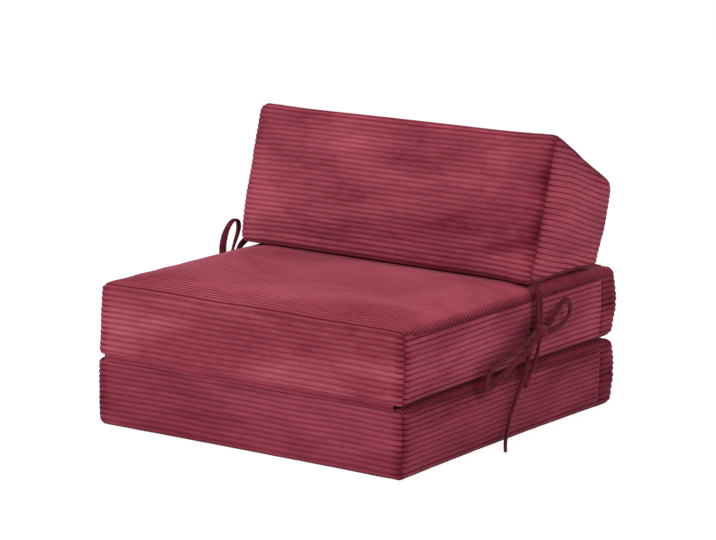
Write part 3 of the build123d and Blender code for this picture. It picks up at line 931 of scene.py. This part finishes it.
def make_back(form, seed):
    """Pieces of the back cushion's cover and padding"""
    corners = [REAR_LOW, FRONT_LOW, FRONT_TOP, REAR_TOP]
    section = Section(corners, BACK_RADII, HALF_WIDTH - BACK_NARROWER, BACK_ROLL, BACK_DROP, BACK_DROP)

    def rear_place(height):
        return section.length - (height - section.reaches[0])

    panel_low = BACK_ZIP_RISE - BACK_PANEL_HEIGHT / 2
    panel_high = BACK_ZIP_RISE + BACK_PANEL_HEIGHT / 2
    start, end = rear_place(panel_low), rear_place(panel_high) + section.length
    wrap = wrap_piece("back_wrap", section, start, end, False, form, seed)
    sides = [
        side_piece(f"back_side_{word}", sign, section, tuple(BACK_OUT), None, form, seed + 10 + sign)
        for word, sign in (("left", -1), ("right", 1))
    ]
    ranges = ((panel_low, BACK_ZIP_RISE - ZIP_SLOT / 2), (BACK_ZIP_RISE + ZIP_SLOT / 2, panel_high))
    strips = []
    for strip, (low, high) in enumerate(ranges):
        start, end = rear_place(high), rear_place(low)
        strips.append(wrap_piece(f"back_strip_{strip}", section, start, end, False, form, seed + 20 + strip))
    return wrap, sides, join_pieces("back_zip_cloth", strips)


def rounded_off(route, passes=3):
    """A line with its corners cut, pass by pass"""
    line = np.array(route, float)
    for _ in range(passes):
        early = 0.75 * line[:-1] + 0.25 * line[1:]
        late = 0.25 * line[:-1] + 0.75 * line[1:]
        line = np.concatenate([line[:1], np.stack([early, late], 1).reshape(-1, 2), line[-1:]])
    return line


def strip_sheet(name, profile, half_length, thickness, first_rib, shape, seed):
    """Ribbed strip of cloth along X with a profile in Y and Z, and its width in the flat"""
    places, centre = resampled(rounded_off(profile), 8, SHEET_STEP)
    tangent = unit(np.gradient(centre, axis=0))
    normal = np.stack([-tangent[:, 1], tangent[:, 0]], -1)
    counts = first_rib + places / RIB_PITCH
    x = np.linspace(-half_length, half_length, round(2 * half_length / COLUMN_STEP) + 1)
    grooves = SHEET_RIB_DEPTH * (1 - rib_height(np.mod(counts, 1.0)))
    layers = []
    for side, sunk in ((1, grooves), (-1, 0 * grooves)):
        layer = np.empty((len(places), len(x), 3))
        layer[..., 0] = x[None]
        layer[..., 1:] = (centre + side * normal * (thickness / 2 - sunk)[:, None])[:, None]
        uneven = SHEET_UNEVENNESS * waves(layer, SHEET_WAVE, seed)[..., None] * np.array([0, 1, 1])
        layers.append(shape(layer + uneven))
    rows, columns = layers[0].shape[:2]
    index = np.arange(rows * columns).reshape(rows, columns)
    under = index + rows * columns
    faces = [grid_quads(index), grid_quads(under)[:, [0, 3, 2, 1]]]
    smooth_count = sum(len(part) for part in faces)
    for edge, flip in ((np.s_[0], 1), (np.s_[-1], -1), (np.s_[:, 0], -1), (np.s_[:, -1], 1)):
        first, second = index[edge], under[edge]
        faces.append(np.stack([first[:-1], second[:-1], second[1:], first[1:]], -1)[:, ::flip])
    u = np.tile(np.repeat(counts, columns), 2)
    v = np.tile(np.tile(x, rows), 2) + CLOTH_SHIFT * seed
    vertices = np.concatenate([layer.reshape(-1, 3) for layer in layers])
    strip = cloth_mesh(name, vertices, np.concatenate(faces).tolist(), smooth_count, u, v)
    return strip, float(places[-1])


def make_hinges():
    """Front band between the two blocks, and the rear flap that carries the back cushion"""

    def follow_front(points):
        """Bends the band in with the blocks' drawn-in fronts"""
        points[..., 1] += DRAW_IN * (1 - (points[..., 0] / HALF_WIDTH) ** 2)
        return points

    def follow_seat(points):
        """Lays the flap on the seat's crown"""
        dome = rise(HALF_WIDTH - np.abs(points[..., 0])) * rise(REAR_Y - points[..., 1])
        points[..., 2] += (SEAT_CROWN - FLAP_SINK) * dome
        return points

    band, width = strip_sheet(
        "front_band", BAND_PROFILE, BAND_HALF_LENGTH, BAND_THICKNESS, BAND_FIRST_RIB, follow_front, 61
    )
    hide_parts("front_hinge_band")
    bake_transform(band)

    profile = [(y, SEAT_EDGE_HIGH + z) for y, z in FLAP_PROFILE[::-1]]
    flap, width = strip_sheet("rear_flap", profile, FLAP_HALF_LENGTH, FLAP_THICKNESS, 0.0, follow_seat, 62)
    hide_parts("rear_hinge_flap")
    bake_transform(flap)
    return band, flap


# Ties, in metres: the right bow, whose routes the left bow mirrors
ROOT_FRONT = [(0.340, 0.090, 0.301), (0.354, 0.081, 0.288), (0.361, 0.075, 0.266), (0.362, 0.074, 0.240),
              (0.362, 0.075, 0.212)]
ROOT_REAR = [(0.340, 0.097, 0.296), (0.356, 0.088, 0.284), (0.364, 0.082, 0.262), (0.365, 0.081, 0.240),
             (0.365, 0.081, 0.212)]
TAIL_FRONT = [(0.359, 0.078, 0.204), (0.358, 0.064, 0.182), (0.359, 0.046, 0.152), (0.361, 0.029, 0.121),
              (0.362, 0.009, 0.094), (0.363, -0.012, 0.068), (0.365, -0.029, 0.044), (0.370, -0.044, 0.024),
              (0.379, -0.062, 0.010), (0.391, -0.080, 0.005)]
TAIL_REAR = [(0.364, 0.085, 0.202), (0.366, 0.077, 0.180), (0.368, 0.062, 0.154), (0.367, 0.045, 0.127),
             (0.367, 0.026, 0.104)]
LOOP_REAR = [(0.367, 0.086, 0.211), (0.374, 0.104, 0.221), (0.375, 0.129, 0.247), (0.375, 0.156, 0.259),
             (0.374, 0.178, 0.249), (0.372, 0.184, 0.226), (0.370, 0.164, 0.210), (0.368, 0.133, 0.203),
             (0.366, 0.107, 0.202), (0.365, 0.087, 0.203)]
HANGING_LOOP = [(0.365, 0.076, 0.213), (0.368, 0.050, 0.205), (0.371, 0.011, 0.194), (0.374, -0.048, 0.183),
                (0.376, -0.106, 0.172), (0.376, -0.134, 0.157), (0.375, -0.138, 0.139), (0.374, -0.119, 0.130),
                (0.373, -0.094, 0.139), (0.373, -0.052, 0.154), (0.373, -0.006, 0.169), (0.373, 0.042, 0.186),
                (0.366, 0.076, 0.204)]
STANDING_LOOP = [(0.366, 0.077, 0.203), (0.371, 0.060, 0.216), (0.373, 0.049, 0.238), (0.373, 0.041, 0.264),
                 (0.372, 0.041, 0.290), (0.371, 0.051, 0.315), (0.370, 0.071, 0.332), (0.370, 0.092, 0.327),
                 (0.371, 0.094, 0.306), (0.373, 0.084, 0.283), (0.375, 0.075, 0.258), (0.374, 0.073, 0.233),
                 (0.371, 0.077, 0.213)]
KNOT_CENTRE = (0.364, 0.081, 0.208)
KNOT_TILT = math.radians(-18)
KNOT_TURNS, KNOT_HALF_RISE, KNOT_RADIUS, KNOT_CORE_HALF = 2.3, 0.0084, 0.0116, 0.0115
# How much tighter the knot's coil gets at its ends, and how far it sways up and down
KNOT_TIGHTER, KNOT_SWAY = 0.0026, 0.0014
BOW_FORWARD = {"right": 0.016, "left": -0.006}
# Half the width and half the thickness of each kind of strand
ROUND = (0.0047, 0.0042)
STRAP = (0.0072, 0.0033)
TAIL = (0.0056, 0.0037)
KNOT_COIL = (0.0060, 0.0050)
KNOT_CORE = (0.0110, 0.0106)
TIE_RIDGES, TIE_RIDGE_DEPTH = 6, 0.07
TIE_TAPER, TIE_TIP = 0.004, 0.04
TIE_STEP = 0.003
TIE_TWIST = 0.25
TIE_WANDER, TIE_WANDER_WAVE = 0.22, 0.09
TIE_UNEVENNESS, TIE_WAVE = 0.02, 0.03


def smooth_line(route):
    """Points along the smooth line that a route's points pull towards them"""
    curve = bpy.data.curves.new("route", "CURVE")
    curve.dimensions = "3D"
    spline = curve.splines.new("NURBS")
    spline.points.add(len(route) - 1)
    for point, place in zip(spline.points, route):
        point.co = (*place, 1)
    spline.order_u = 3
    spline.use_endpoint_u = True
    curve.resolution_u = 12
    holder = new_object("route", curve)
    line = made_mesh(holder)
    points = mesh_spots(line)
    bpy.data.objects.remove(holder)
    bpy.data.curves.remove(curve)
    bpy.data.meshes.remove(line)
    return points


def tube_mesh(name, line, section, turned, seed):
    """Soft tube of cloth along a line, with lengthwise ribs and a quarter twist at its middle if turned"""
    places, centre = resampled(line, 8, TIE_STEP)
    tangent = unit(np.gradient(centre, axis=0))
    out = unit(np.array([1.0, 0.0, 0.0]) - tangent * tangent[:, :1])
    wide = np.cross(tangent, out)
    most, power = (math.pi / 2, 2) if turned else (TIE_TWIST, 1)
    twist = most * np.sin(math.pi * places / places[-1]) ** power
    twist = (twist + TIE_WANDER * waves(centre, TIE_WANDER_WAVE, seed + 40))[:, None]
    wide, out = np.cos(twist) * wide + np.sin(twist) * out, np.cos(twist) * out - np.sin(twist) * wide
    ring = TIE_RIDGES * 4
    angle = np.arange(ring) * 2 * math.pi / ring
    ends = np.minimum(places, places[-1] - places)
    taper = np.sqrt(np.clip(1 - (1 - np.clip(ends / TIE_TAPER, 0, 1)) ** 2, TIE_TIP, 1))
    size = (1 - TIE_RIDGE_DEPTH * (1 - np.cos(TIE_RIDGES * angle)))[None, :] * taper[:, None]
    size = size * (1 + TIE_UNEVENNESS * waves(centre, TIE_WAVE, seed))[:, None]
    offset = section[0] * np.cos(angle)[None, :, None] * wide[:, None]
    offset = offset + section[1] * np.sin(angle)[None, :, None] * out[:, None]
    points = centre[:, None] + size[..., None] * offset
    index = np.arange(len(places) * ring).reshape(len(places), ring)
    following = np.roll(index, -1, axis=1)
    quads = np.stack([index[:-1], following[:-1], following[1:], index[1:]], -1).reshape(-1, 4).tolist()
    quads += [index[0][::-1].tolist(), index[-1].tolist()]
    around = np.tile(np.arange(ring) / 4, len(places)) + 0.5
    return cloth_mesh(name, points.reshape(-1, 3), quads, len(quads), around, np.repeat(places, ring) + seed)


def mirrored(route, word, sign):
    """The route on the side that sign gives"""
    return [(sign * x, y - BOW_FORWARD[word], z) for x, y, z in route]


def make_knot(word, sign):
    """Knot: two turns of the tie pulled tight round its strands"""
    turns = np.linspace(0, 2 * math.pi * KNOT_TURNS, 100)
    up = np.linspace(-KNOT_HALF_RISE, KNOT_HALF_RISE, 100)
    radius = KNOT_RADIUS - KNOT_TIGHTER * np.abs(up / KNOT_HALF_RISE) ** 3
    swayed = up + KNOT_SWAY * np.sin(turns * 1.3)
    coil = np.stack([radius * np.cos(turns), radius * np.sin(turns), swayed], -1)
    core = np.zeros((30, 3))
    core[:, 2] = np.linspace(-KNOT_CORE_HALF, KNOT_CORE_HALF, 30)
    tilt = np.array(Matrix.Rotation(KNOT_TILT, 3, "X"))
    centre = np.array(KNOT_CENTRE) - np.array([0, BOW_FORWARD[word], 0])
    pieces = [
        tube_mesh(f"knot_{word}_{part}", (line @ tilt.T + centre) * np.array([sign, 1, 1]), size, False, 5 + part)
        for part, (line, size) in enumerate(((coil, KNOT_COIL), (core, KNOT_CORE)))
    ]
    return join_pieces(f"tie_{word}_bow_knot", pieces)


def make_bow(word, sign, front_loop, cloth, knot_cloth):
    """One bow: two strands from the back cushion, a knot, two loops and two tails"""
    knot = make_knot(word, sign)
    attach(knot, "back_cushion")
    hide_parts(f"tie_{word}_knot")
    paint(knot, knot_cloth)
    routes = {
        "root_front": (ROOT_FRONT, "knot", "taut", ROUND, False),
        "root_rear": (ROOT_REAR, "knot", "taut", ROUND, False),
        "loop_front": (front_loop, "knot", "hanging", STRAP, word == "left"),
        "loop_rear": (LOOP_REAR, "knot", "hanging", STRAP, False),
        "tail_front": (TAIL_FRONT, "bare", "hanging", TAIL, False),
        "tail_rear": (TAIL_REAR, "bare", "hanging", TAIL, False),
    }
    for number, (part, (route, far_end, lay, section, turned)) in enumerate(routes.items()):
        placed = mirrored(route, word, sign)
        line = smooth_line(placed)
        strand = tube_mesh(f"bow_{word}_{part}", line, section, turned, number + 10 * (sign + 2))
        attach(strand, "back_cushion")
        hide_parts(f"tie_{word}_{part}")
        paint(strand, cloth)
        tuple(placed[0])


# Painted shadow of the right bow on the side under it: its start and its run in Y and Z, its half width and its
# least X
BOW_SHADOW_START = (0.066, 0.215)
BOW_SHADOW_RUN = (0.190, 0.065)
BOW_SHADOW_WIDTH = 0.038
BOW_SHADOW_BEYOND = 0.3

# Colours and values of the corduroy, where a cloth has none of its own
# Tints of the painted shade in the grooves, and of the dark seam lines, the painted shade near seams and the
# right bow's painted shadow
GROOVE_TINT = (0.62, 0.13, 0.24)
SEAM_TINT = (0.30, 0.085, 0.14)
PILE_VALUES = {
    "Groove": 0.66, "Groove Start": 0.12, "Patch Size": 6.5, "Shift": 0.0, "Seam Shade": 0.3, "Across": 0.0,
    "Bow Shadow": 0.0,
}
THIN_GROOVE = {"groove": 1.0, "groove_start": 0.24, "groove_tint": (0.50, 0.13, 0.22)}
# How sharp the painted shade in the grooves is, and how much stronger on top and near a seam
GROOVE_SHARPNESS, GROOVE_ON_TOP, GROOVE_AT_SEAM = 1.8, 1.9, 2.4
# Patterns a rib and a metre: dashes along single ribs, and streaks along a few
DASHES, STREAKS = (0.35, 38.0), (0.16, 3.2)
DASH_SHIFT = 37.0
# Crushed patches across many ribs: their shape, where they start and how soft their edge is
PATCH_SHAPE = (0.5, 0.7, 1.9)
CRUSH_START, CRUSH_CONTRAST = 0.37, 3.9
TUFTS = 300.0
# What each pattern, and the painted light on upward faces, adds to the shade from dark to light, and the least of
# all that shows
CRUSH_SHARE, STREAK_SHARE, DASH_SHARE, TUFT_SHARE, UP_SHARE, SHADE_START = 0.62, 0.38, 0.55, 0.30, 0.04, 0.26
# How much lighter a seam's painted shade is on crushed pile, and how dark its line is
SEAM_CRUSH, SEAM_LINE = 0.7, 0.85
# Spacing of the zip tape's yarns, in radians a metre
YARN_FREQUENCY = 5200.0


def pile_group():
    """Corduroy pile: crushed patches and uneven ribs, with painted shade in the grooves, near seams and folds and
    under the right bow, and a little painted light on upward faces, from the cloth's own map
    """
    group = bpy.data.node_groups.new("corduroy_pile", "ShaderNodeTree")
    for direction, words, kind in (
        ("INPUT", ("Dark", "Light", "Groove Tint", "Seam Tint"), "NodeSocketColor"),
        ("INPUT", tuple(PILE_VALUES), "NodeSocketFloat"),
        ("OUTPUT", ("Colour",), "NodeSocketColor"),
        ("OUTPUT", ("Roughness", "Height"), "NodeSocketFloat"),
    ):
        for word in words:
            group.interface.new_socket(word, in_out=direction, socket_type=kind)
    make = Maker(group)
    plus, minus, times = make.plus, make.minus, make.times
    given = make.add("NodeGroupInput").outputs
    result = make.add("NodeGroupOutput").inputs
    place = make.object_place()
    count, along, _ = make.parts(make.add("ShaderNodeUVMap", uv_map="cloth").outputs[0])
    marks = make.add("ShaderNodeAttribute", attribute_name="shade_marks").outputs["Vector"]
    near_seam, faces_up, in_line = make.parts(marks)

    # Painted shade in the grooves between the ribs, deeper at seams and on top
    from_middle = make.math("ABSOLUTE", minus(make.math("FRACT", count), 0.5))
    from_start = minus(from_middle, given["Groove Start"])
    groove = make.math("DIVIDE", from_start, minus(0.5, given["Groove Start"]), clamp=True)
    depth = plus(plus(times(faces_up, GROOVE_ON_TOP), 1.0), times(near_seam, GROOVE_AT_SEAM))
    groove = times(make.math("POWER", groove, GROOVE_SHARPNESS), depth)
    groove = make.math("MULTIPLY", groove, given["Groove"], clamp=True)

    # Dashes along single ribs, streaks along a few, crushed patches across many, and tufts
    own = make.add("ShaderNodeTexWhiteNoise", noise_dimensions="1D")
    make.feed(own.inputs["W"], make.math("FLOOR", count))
    dash_along = plus(times(along, DASHES[1]), times(own.outputs["Value"], DASH_SHIFT))
    dash = make.noise(make.vector(times(count, DASHES[0]), dash_along), 1.0, 3.0)
    streak = make.noise(make.vector(times(count, STREAKS[0]), times(along, STREAKS[1])), 1.0, 4.0, 0.4)
    scaled = make.add("ShaderNodeVectorMath", {0: place, "Scale": given["Patch Size"]}, operation="SCALE")
    shifted = make.add("ShaderNodeVectorMath", {0: scaled.outputs[0], 1: given["Shift"]}, operation="ADD")
    patch = make.add("ShaderNodeMapping", {"Vector": shifted.outputs[0], "Scale": PATCH_SHAPE})
    crush = minus(make.noise(patch.outputs[0], 1.0, 8.0, 0.7), CRUSH_START)
    crush = make.math("MULTIPLY", crush, CRUSH_CONTRAST, clamp=True)
    tuft = make.noise(place, TUFTS, 3.0)

    # Dark seam lines, painted shade near seams and in folds, and the painted shadow of the right bow on the side
    # under it
    seam = times(times(near_seam, minus(1.0, times(crush, SEAM_CRUSH))), given["Seam Shade"])
    seam = make.math("MAXIMUM", seam, times(in_line, SEAM_LINE))
    x, y, z = make.parts(place)
    reach = math.hypot(*BOW_SHADOW_RUN)
    offs = [minus(start, axis) for start, axis in zip(BOW_SHADOW_START, (y, z))]
    shares = [length / reach for length in BOW_SHADOW_RUN]
    run = plus(times(offs[0], shares[0]), times(offs[1], shares[1]))
    run = make.math("MINIMUM", make.math("MAXIMUM", run, 0.0), reach)
    offs = [minus(off, times(run, share)) for off, share in zip(offs, shares)]
    away = make.math("SQRT", plus(times(offs[0], offs[0]), times(offs[1], offs[1])))
    # Painted shadow of the right bow: darkest along its line, gone at its half width, only on the right side
    rubbing_and_bow_shadow = make.math("SUBTRACT", 1.0, make.math("DIVIDE", away, BOW_SHADOW_WIDTH), clamp=True)
    rubbing_and_bow_shadow = times(times(rubbing_and_bow_shadow, make.math("GREATER_THAN", x, BOW_SHADOW_BEYOND)), given["Bow Shadow"])
    seam = make.math("MAXIMUM", seam, rubbing_and_bow_shadow)

    shade = plus(plus(times(crush, CRUSH_SHARE), times(streak, STREAK_SHARE)), times(dash, DASH_SHARE))
    shade = plus(shade, times(minus(tuft, 0.5), TUFT_SHARE))
    shade = plus(shade, times(x, given["Across"]))
    # Painted light: faces that look up come out a little lighter
    shade = plus(shade, times(faces_up, UP_SHARE))
    shade = make.math("SUBTRACT", shade, SHADE_START, clamp=True)
    colour = make.mix(shade, given["Dark"], given["Light"])
    colour = make.mix(groove, colour, given["Groove Tint"], "MULTIPLY")
    colour = make.mix(seam, colour, given["Seam Tint"], "MULTIPLY")
    make.feed(result["Colour"], colour)
    make.feed(result["Roughness"], plus(0.74, times(tuft, 0.2)))
    make.feed(result["Height"], plus(tuft, times(dash, 0.4)))
    return group


def pile_material(name, group, dark, light, **others):
    """Corduroy with its own colours, grooves, crushed patches and shading"""
    material, make, shader = new_material(name)
    tint = others.get("groove_tint", GROOVE_TINT)
    inputs = {"Dark": (*dark, 1), "Light": (*light, 1), "Groove Tint": (*tint, 1), "Seam Tint": (*SEAM_TINT, 1)}
    for word, value in PILE_VALUES.items():
        inputs[word] = others.get(word.lower().replace(" ", "_"), value)
    pile = make.add("ShaderNodeGroup", node_tree=group)
    for word, value in inputs.items():
        pile.inputs[word].default_value = value
    make.feed(shader["Base Color"], pile.outputs["Colour"])
    make.feed(shader["Roughness"], pile.outputs["Roughness"])
    make.feed(shader["Normal"], make.relief(pile.outputs["Height"], 0.35, 0.0012))
    shader["Sheen Weight"].default_value = others.get("sheen", 0.18)
    shader["Sheen Roughness"].default_value = 0.4
    shader["Sheen Tint"].default_value = (1.0, 0.42, 0.55, 1)
    shader["Specular IOR Level"].default_value = 0.12
    return material


def tape_material():
    """Woven zip tape: fine diagonal ribs in a dark wine yarn"""
    material, make, shader = new_material("zip_tape_weave")
    plus, times = make.plus, make.times
    place = make.object_place()
    x, _, z = make.parts(place)
    warp = make.math("SINE", times(plus(x, z), YARN_FREQUENCY))
    weft = make.math("SINE", times(make.minus(x, z), YARN_FREQUENCY))
    weave = times(plus(plus(warp, weft), 2.0), 0.25)
    yarn = make.noise(place, 700.0, 2.0)
    share = plus(times(weave, 0.6), times(yarn, 0.4))
    make.feed(shader["Base Color"], make.mix(share, (0.060, 0.006, 0.013), (0.140, 0.014, 0.030)))
    make.feed(shader["Roughness"], plus(0.6, times(yarn, 0.3)))
    make.feed(shader["Normal"], make.relief(weave, 0.4, 0.0004))
    shader["Specular IOR Level"].default_value = 0.08
    return material


def rubbed_material(name, dark, light, metallic, rough_low, rough_high, scale):
    """Smooth hard finish with light rubbing: nickel plate or a nylon coil"""
    material, make, shader = new_material(name)
    shader["Metallic"].default_value = metallic
    rubbing_and_bow_shadow = make.noise(make.object_place(), scale, 4)
    ramp = make.add("ShaderNodeMapRange", {"Value": rubbing_and_bow_shadow, "To Min": rough_low, "To Max": rough_high})
    make.feed(shader["Roughness"], ramp.outputs[0])
    make.feed(shader["Base Color"], make.mix(rubbing_and_bow_shadow, dark, light))
    return material


def zip_chain_tree(tape, coil):
    """Geometry nodes that lay two rows of coil loops and two tapes along X"""
    tree = bpy.data.node_groups.new("zip_chain", "GeometryNodeTree")
    tree.interface.new_socket("Geometry", in_out="OUTPUT", socket_type="NodeSocketGeometry")
    given_ids = {}
    for name, value in ZIP_SIZES.items():
        socket = tree.interface.new_socket(name, in_out="INPUT", socket_type="NodeSocketFloat")
        socket.default_value = value
        given_ids[name] = socket.identifier
    make = Maker(tree)
    plus, minus, times = make.plus, make.minus, make.times
    given = make.add("NodeGroupInput").outputs
    result = make.add("NodeGroupOutput").inputs

    def placed(geometry, **moves):
        """Geometry moved, turned or scaled"""
        inputs = {"Geometry": geometry, **{word.capitalize(): value for word, value in moves.items()}}
        return make.add("GeometryNodeTransform", inputs).outputs[0]

    length, pitch, half_gap = given["Length"], given["Pitch"], times(given["Gap"], 0.5)
    half_width, half_rise = times(given["Loop Width"], 0.5), times(given["Loop Rise"], 0.5)
    inputs = {"Resolution": 7, "Radius": 1.0, "Start Angle": COIL_START, "Sweep Angle": COIL_SWEEP}
    arch = make.add("GeometryNodeCurveArc", inputs)
    upright = placed(arch.outputs["Curve"], rotation=(math.pi / 2, 0, math.pi / 2))
    sized = placed(upright, scale=make.vector(1.0, half_width, half_rise))
    wire = make.add("GeometryNodeCurvePrimitiveCircle", {"Resolution": 5, "Radius": given["Wire"]})
    inputs = {"Curve": sized, "Profile Curve": wire.outputs["Curve"], "Fill Caps": True}
    loop = make.add("GeometryNodeCurveToMesh", inputs)
    row = make.add("GeometryNodeMeshLine", {
        "Count": make.math("FLOOR", make.math("DIVIDE", length, pitch)), "Offset": make.vector(pitch),
        "Start Location": make.vector(times(length, -0.5)),
    })
    loops, tapes = [], []
    for side in (1, -1):
        move = make.vector(times(pitch, 0.25 * side), times(plus(half_width, half_gap), side))
        points = placed(row.outputs["Mesh"], translation=move)
        inputs = {"Points": points, "Instance": loop.outputs["Mesh"], "Rotation": (0, 0, COIL_TILT * side)}
        loops.append(make.add("GeometryNodeInstanceOnPoints", inputs).outputs["Instances"])
    tape_length = plus(length, times(given["Tape Margin"], 2.0))
    tape_size = make.vector(tape_length, given["Tape Width"], given["Tape Thickness"])
    for side in (1, -1):
        cloth = make.add("GeometryNodeMeshCube", {"Size": tape_size})
        across = times(plus(times(given["Tape Width"], 0.5), half_gap), side)
        depth = minus(times(given["Tape Thickness"], -0.5), times(half_rise, TAPE_SINK))
        tapes.append(placed(cloth.outputs["Mesh"], translation=make.vector(0.0, across, depth)))
    whole = make.add("GeometryNodeJoinGeometry")
    for parts, material in ((loops, coil), (tapes, tape)):
        together = make.add("GeometryNodeJoinGeometry")
        for part in parts:
            make.feed(together.inputs[0], part)
        real = make.add("GeometryNodeRealizeInstances", {0: together.outputs[0]})
        finish = make.add("GeometryNodeSetMaterial", {"Geometry": real.outputs[0], "Material": material})
        make.feed(whole.inputs[0], finish.outputs[0])
    make.feed(result["Geometry"], whole.outputs[0])
    return tree, given_ids


def make_zip(name, tree, given_ids, length, centre, up, outward, body):
    """One zip: its chain made flat along X, then stood in its slot"""
    holder = new_object(f"{name}_zip_chain", bpy.data.meshes.new(f"{name}_chain_start"))
    modifier = holder.modifiers.new("chain", "NODES")
    modifier.node_group = tree
    modifier[given_ids["Length"]] = length
    mesh = made_mesh(holder)
    holder.modifiers.remove(modifier)
    holder.data = mesh
    mesh.name = f"{name}_zip_chain"
    turn = Matrix(((1, 0, 0), up, outward)).transposed().to_4x4()
    mesh.transform(Matrix.Translation(centre) @ turn)
    if turn.determinant() < 0:
        mesh.flip_normals()
    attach(holder, body)
    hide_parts(f"{name}_zip_tape")


def zip_height(name):
    """Height of a block's zip"""
    low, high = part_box(f"{name}_zip_tape")
    return (low.z + high.z) / 2


make_camera()
make_studio()

pile = pile_group()
# One corduroy in copies whose own colours paint in light and shade: the seat's is lightest, the lower block's,
# the block sides', the rear strips', the band's and above all the ties' are painted darker, and the knot's is
# painted lighter than the ties'
cloths = {
    name: pile_material(name, pile, dark, light, **others)
    for name, dark, light, others in (
        ("lower_corduroy", (0.172, 0.0165, 0.0345), (0.330, 0.057, 0.092), {"shift": 2.3, "seam_shade": 0.8}),
        ("seat_corduroy", (0.215, 0.022, 0.043), (0.445, 0.100, 0.143), {"seam_shade": 0.5}),
        ("back_corduroy", (0.155, 0.0130, 0.028), (0.410, 0.083, 0.125),
         {"shift": 5.1, "seam_shade": 0.75, "across": -0.6}),
        # The block sides carry the painted shadow of the right bow
        ("lower_side_corduroy", (0.145, 0.0120, 0.030), (0.275, 0.038, 0.069),
         {"shift": 8.3, "bow_shadow": 0.6, **THIN_GROOVE}),
        ("seat_side_corduroy", (0.200, 0.022, 0.043), (0.38, 0.066, 0.104),
         {"shift": 3.9, "bow_shadow": 0.7, **THIN_GROOVE}),
        ("back_side_corduroy", (0.235, 0.028, 0.053), (0.42, 0.073, 0.113), {"shift": 6.2, **THIN_GROOVE}),
        ("boxing_corduroy", (0.14, 0.0125, 0.030), (0.29, 0.043, 0.075),
         {"shift": 7.7, "sheen": 0.0, **THIN_GROOVE}),
        ("tie_corduroy", (0.052, 0.0042, 0.0108), (0.130, 0.0125, 0.026),
         {"groove": 0.6, "patch_size": 30.0, "sheen": 0.05}),
        ("knot_corduroy", (0.085, 0.0075, 0.0175), (0.23, 0.030, 0.052), {"patch_size": 60.0, "sheen": 0.08}),
        ("band_corduroy", (0.165, 0.0165, 0.033), (0.31, 0.047, 0.079), {"shift": 1.1}),
    )
}
nickel = rubbed_material("nickel", (0.50, 0.48, 0.45), (0.68, 0.66, 0.63), 1.0, 0.22, 0.42, 420)
nylon = rubbed_material("nylon_coil", (0.085, 0.014, 0.024), (0.14, 0.024, 0.040), 0.0, 0.28, 0.45, 900)

settles = {name: settled_cloth(name, seed) for seed, name in enumerate(("lower", "seat", "back"), 1)}
zips = {name: np.array([REAR_Y, zip_height(name)]) for name in ("lower", "seat")}
zips["back"] = REAR_LOW + BACK_ZIP_RISE * BACK_UP
held_seams = {"lower": [(FRONT_Y, LOWER_TOP)], "seat": [(FRONT_Y, SEAT_BOTTOM)], "back": []}
for name in settles:
    settles[name] = held_cloth(settles[name], [*held_seams[name], tuple(zips[name])])
lower_form = block_form(
    0.0, LOWER_EDGE_HIGH, LOWER_CROWN, 0.0, FLOOR_ROOM, LOWER_TOP + LOWER_TOP_ROOM,
    LOWER_FREE_FROM, settles["lower"],
)
seat_form = block_form(
    SEAT_EDGE_LOW, SEAT_EDGE_HIGH, SEAT_CROWN, SEAT_UNDER_CROWN, SEAT_BOTTOM, SEAT_TOP + SEAT_TOP_ROOM,
    SEAT_FREE_FROM, settles["seat"],
)
covers = {
    "lower": (
        make_block("lower", 0.0, LOWER_EDGE_HIGH, LOWER_RADII, zips["lower"][1], lower_form, 100),
        "lower_block", "rear",
    ),
    "seat": (
        make_block("seat", SEAT_EDGE_LOW, SEAT_EDGE_HIGH, SEAT_RADII, zips["seat"][1], seat_form, 200),
        "seat_block", "rear",
    ),
    "back": (make_back(back_form(settles["back"]), 300), "back_cushion", "zip_panel"),
}
for name, ((wrap, sides, strips), body, strips_node) in covers.items():
    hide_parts(f"{name}_cover_wrap", f"{name}_foam_core")
    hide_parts(f"{name}_cover_side_left")
    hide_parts(f"{name}_cover_side_right")
    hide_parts(f"{name}_cover_{strips_node}")
    for piece in (wrap, *sides, strips):
        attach(piece, body)
    paint(wrap, cloths[f"{name}_corduroy"])
    for side in sides:
        paint(side, cloths[f"{name}_side_corduroy"])
    paint(strips, cloths["boxing_corduroy" if strips_node == "rear" else "back_corduroy"])

for piece in make_hinges():
    paint(piece, cloths["band_corduroy"])

make_bow("right", 1, HANGING_LOOP, cloths["tie_corduroy"], cloths["knot_corduroy"])
make_bow("left", -1, STANDING_LOOP, cloths["tie_corduroy"], cloths["knot_corduroy"])

chain, chain_inputs = zip_chain_tree(tape_material(), nylon)
for name, length, up, out, body in (
    ("lower", BLOCK_ZIP_LENGTH, (0, 1), (1, 0), "lower_block"),
    ("seat", BLOCK_ZIP_LENGTH, (0, 1), (1, 0), "seat_block"),
    ("back", BACK_ZIP_LENGTH, BACK_UP, BACK_OUT, "back_cushion"),
):
    place = zips[name] - COIL_DEPTH * np.array(out)
    make_zip(name, chain, chain_inputs, length, (0, *place), (0, *up), (0, *out), body)

for name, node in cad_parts.items():
    if name.endswith(("slider", "pull")):
        paint(node, nickel)
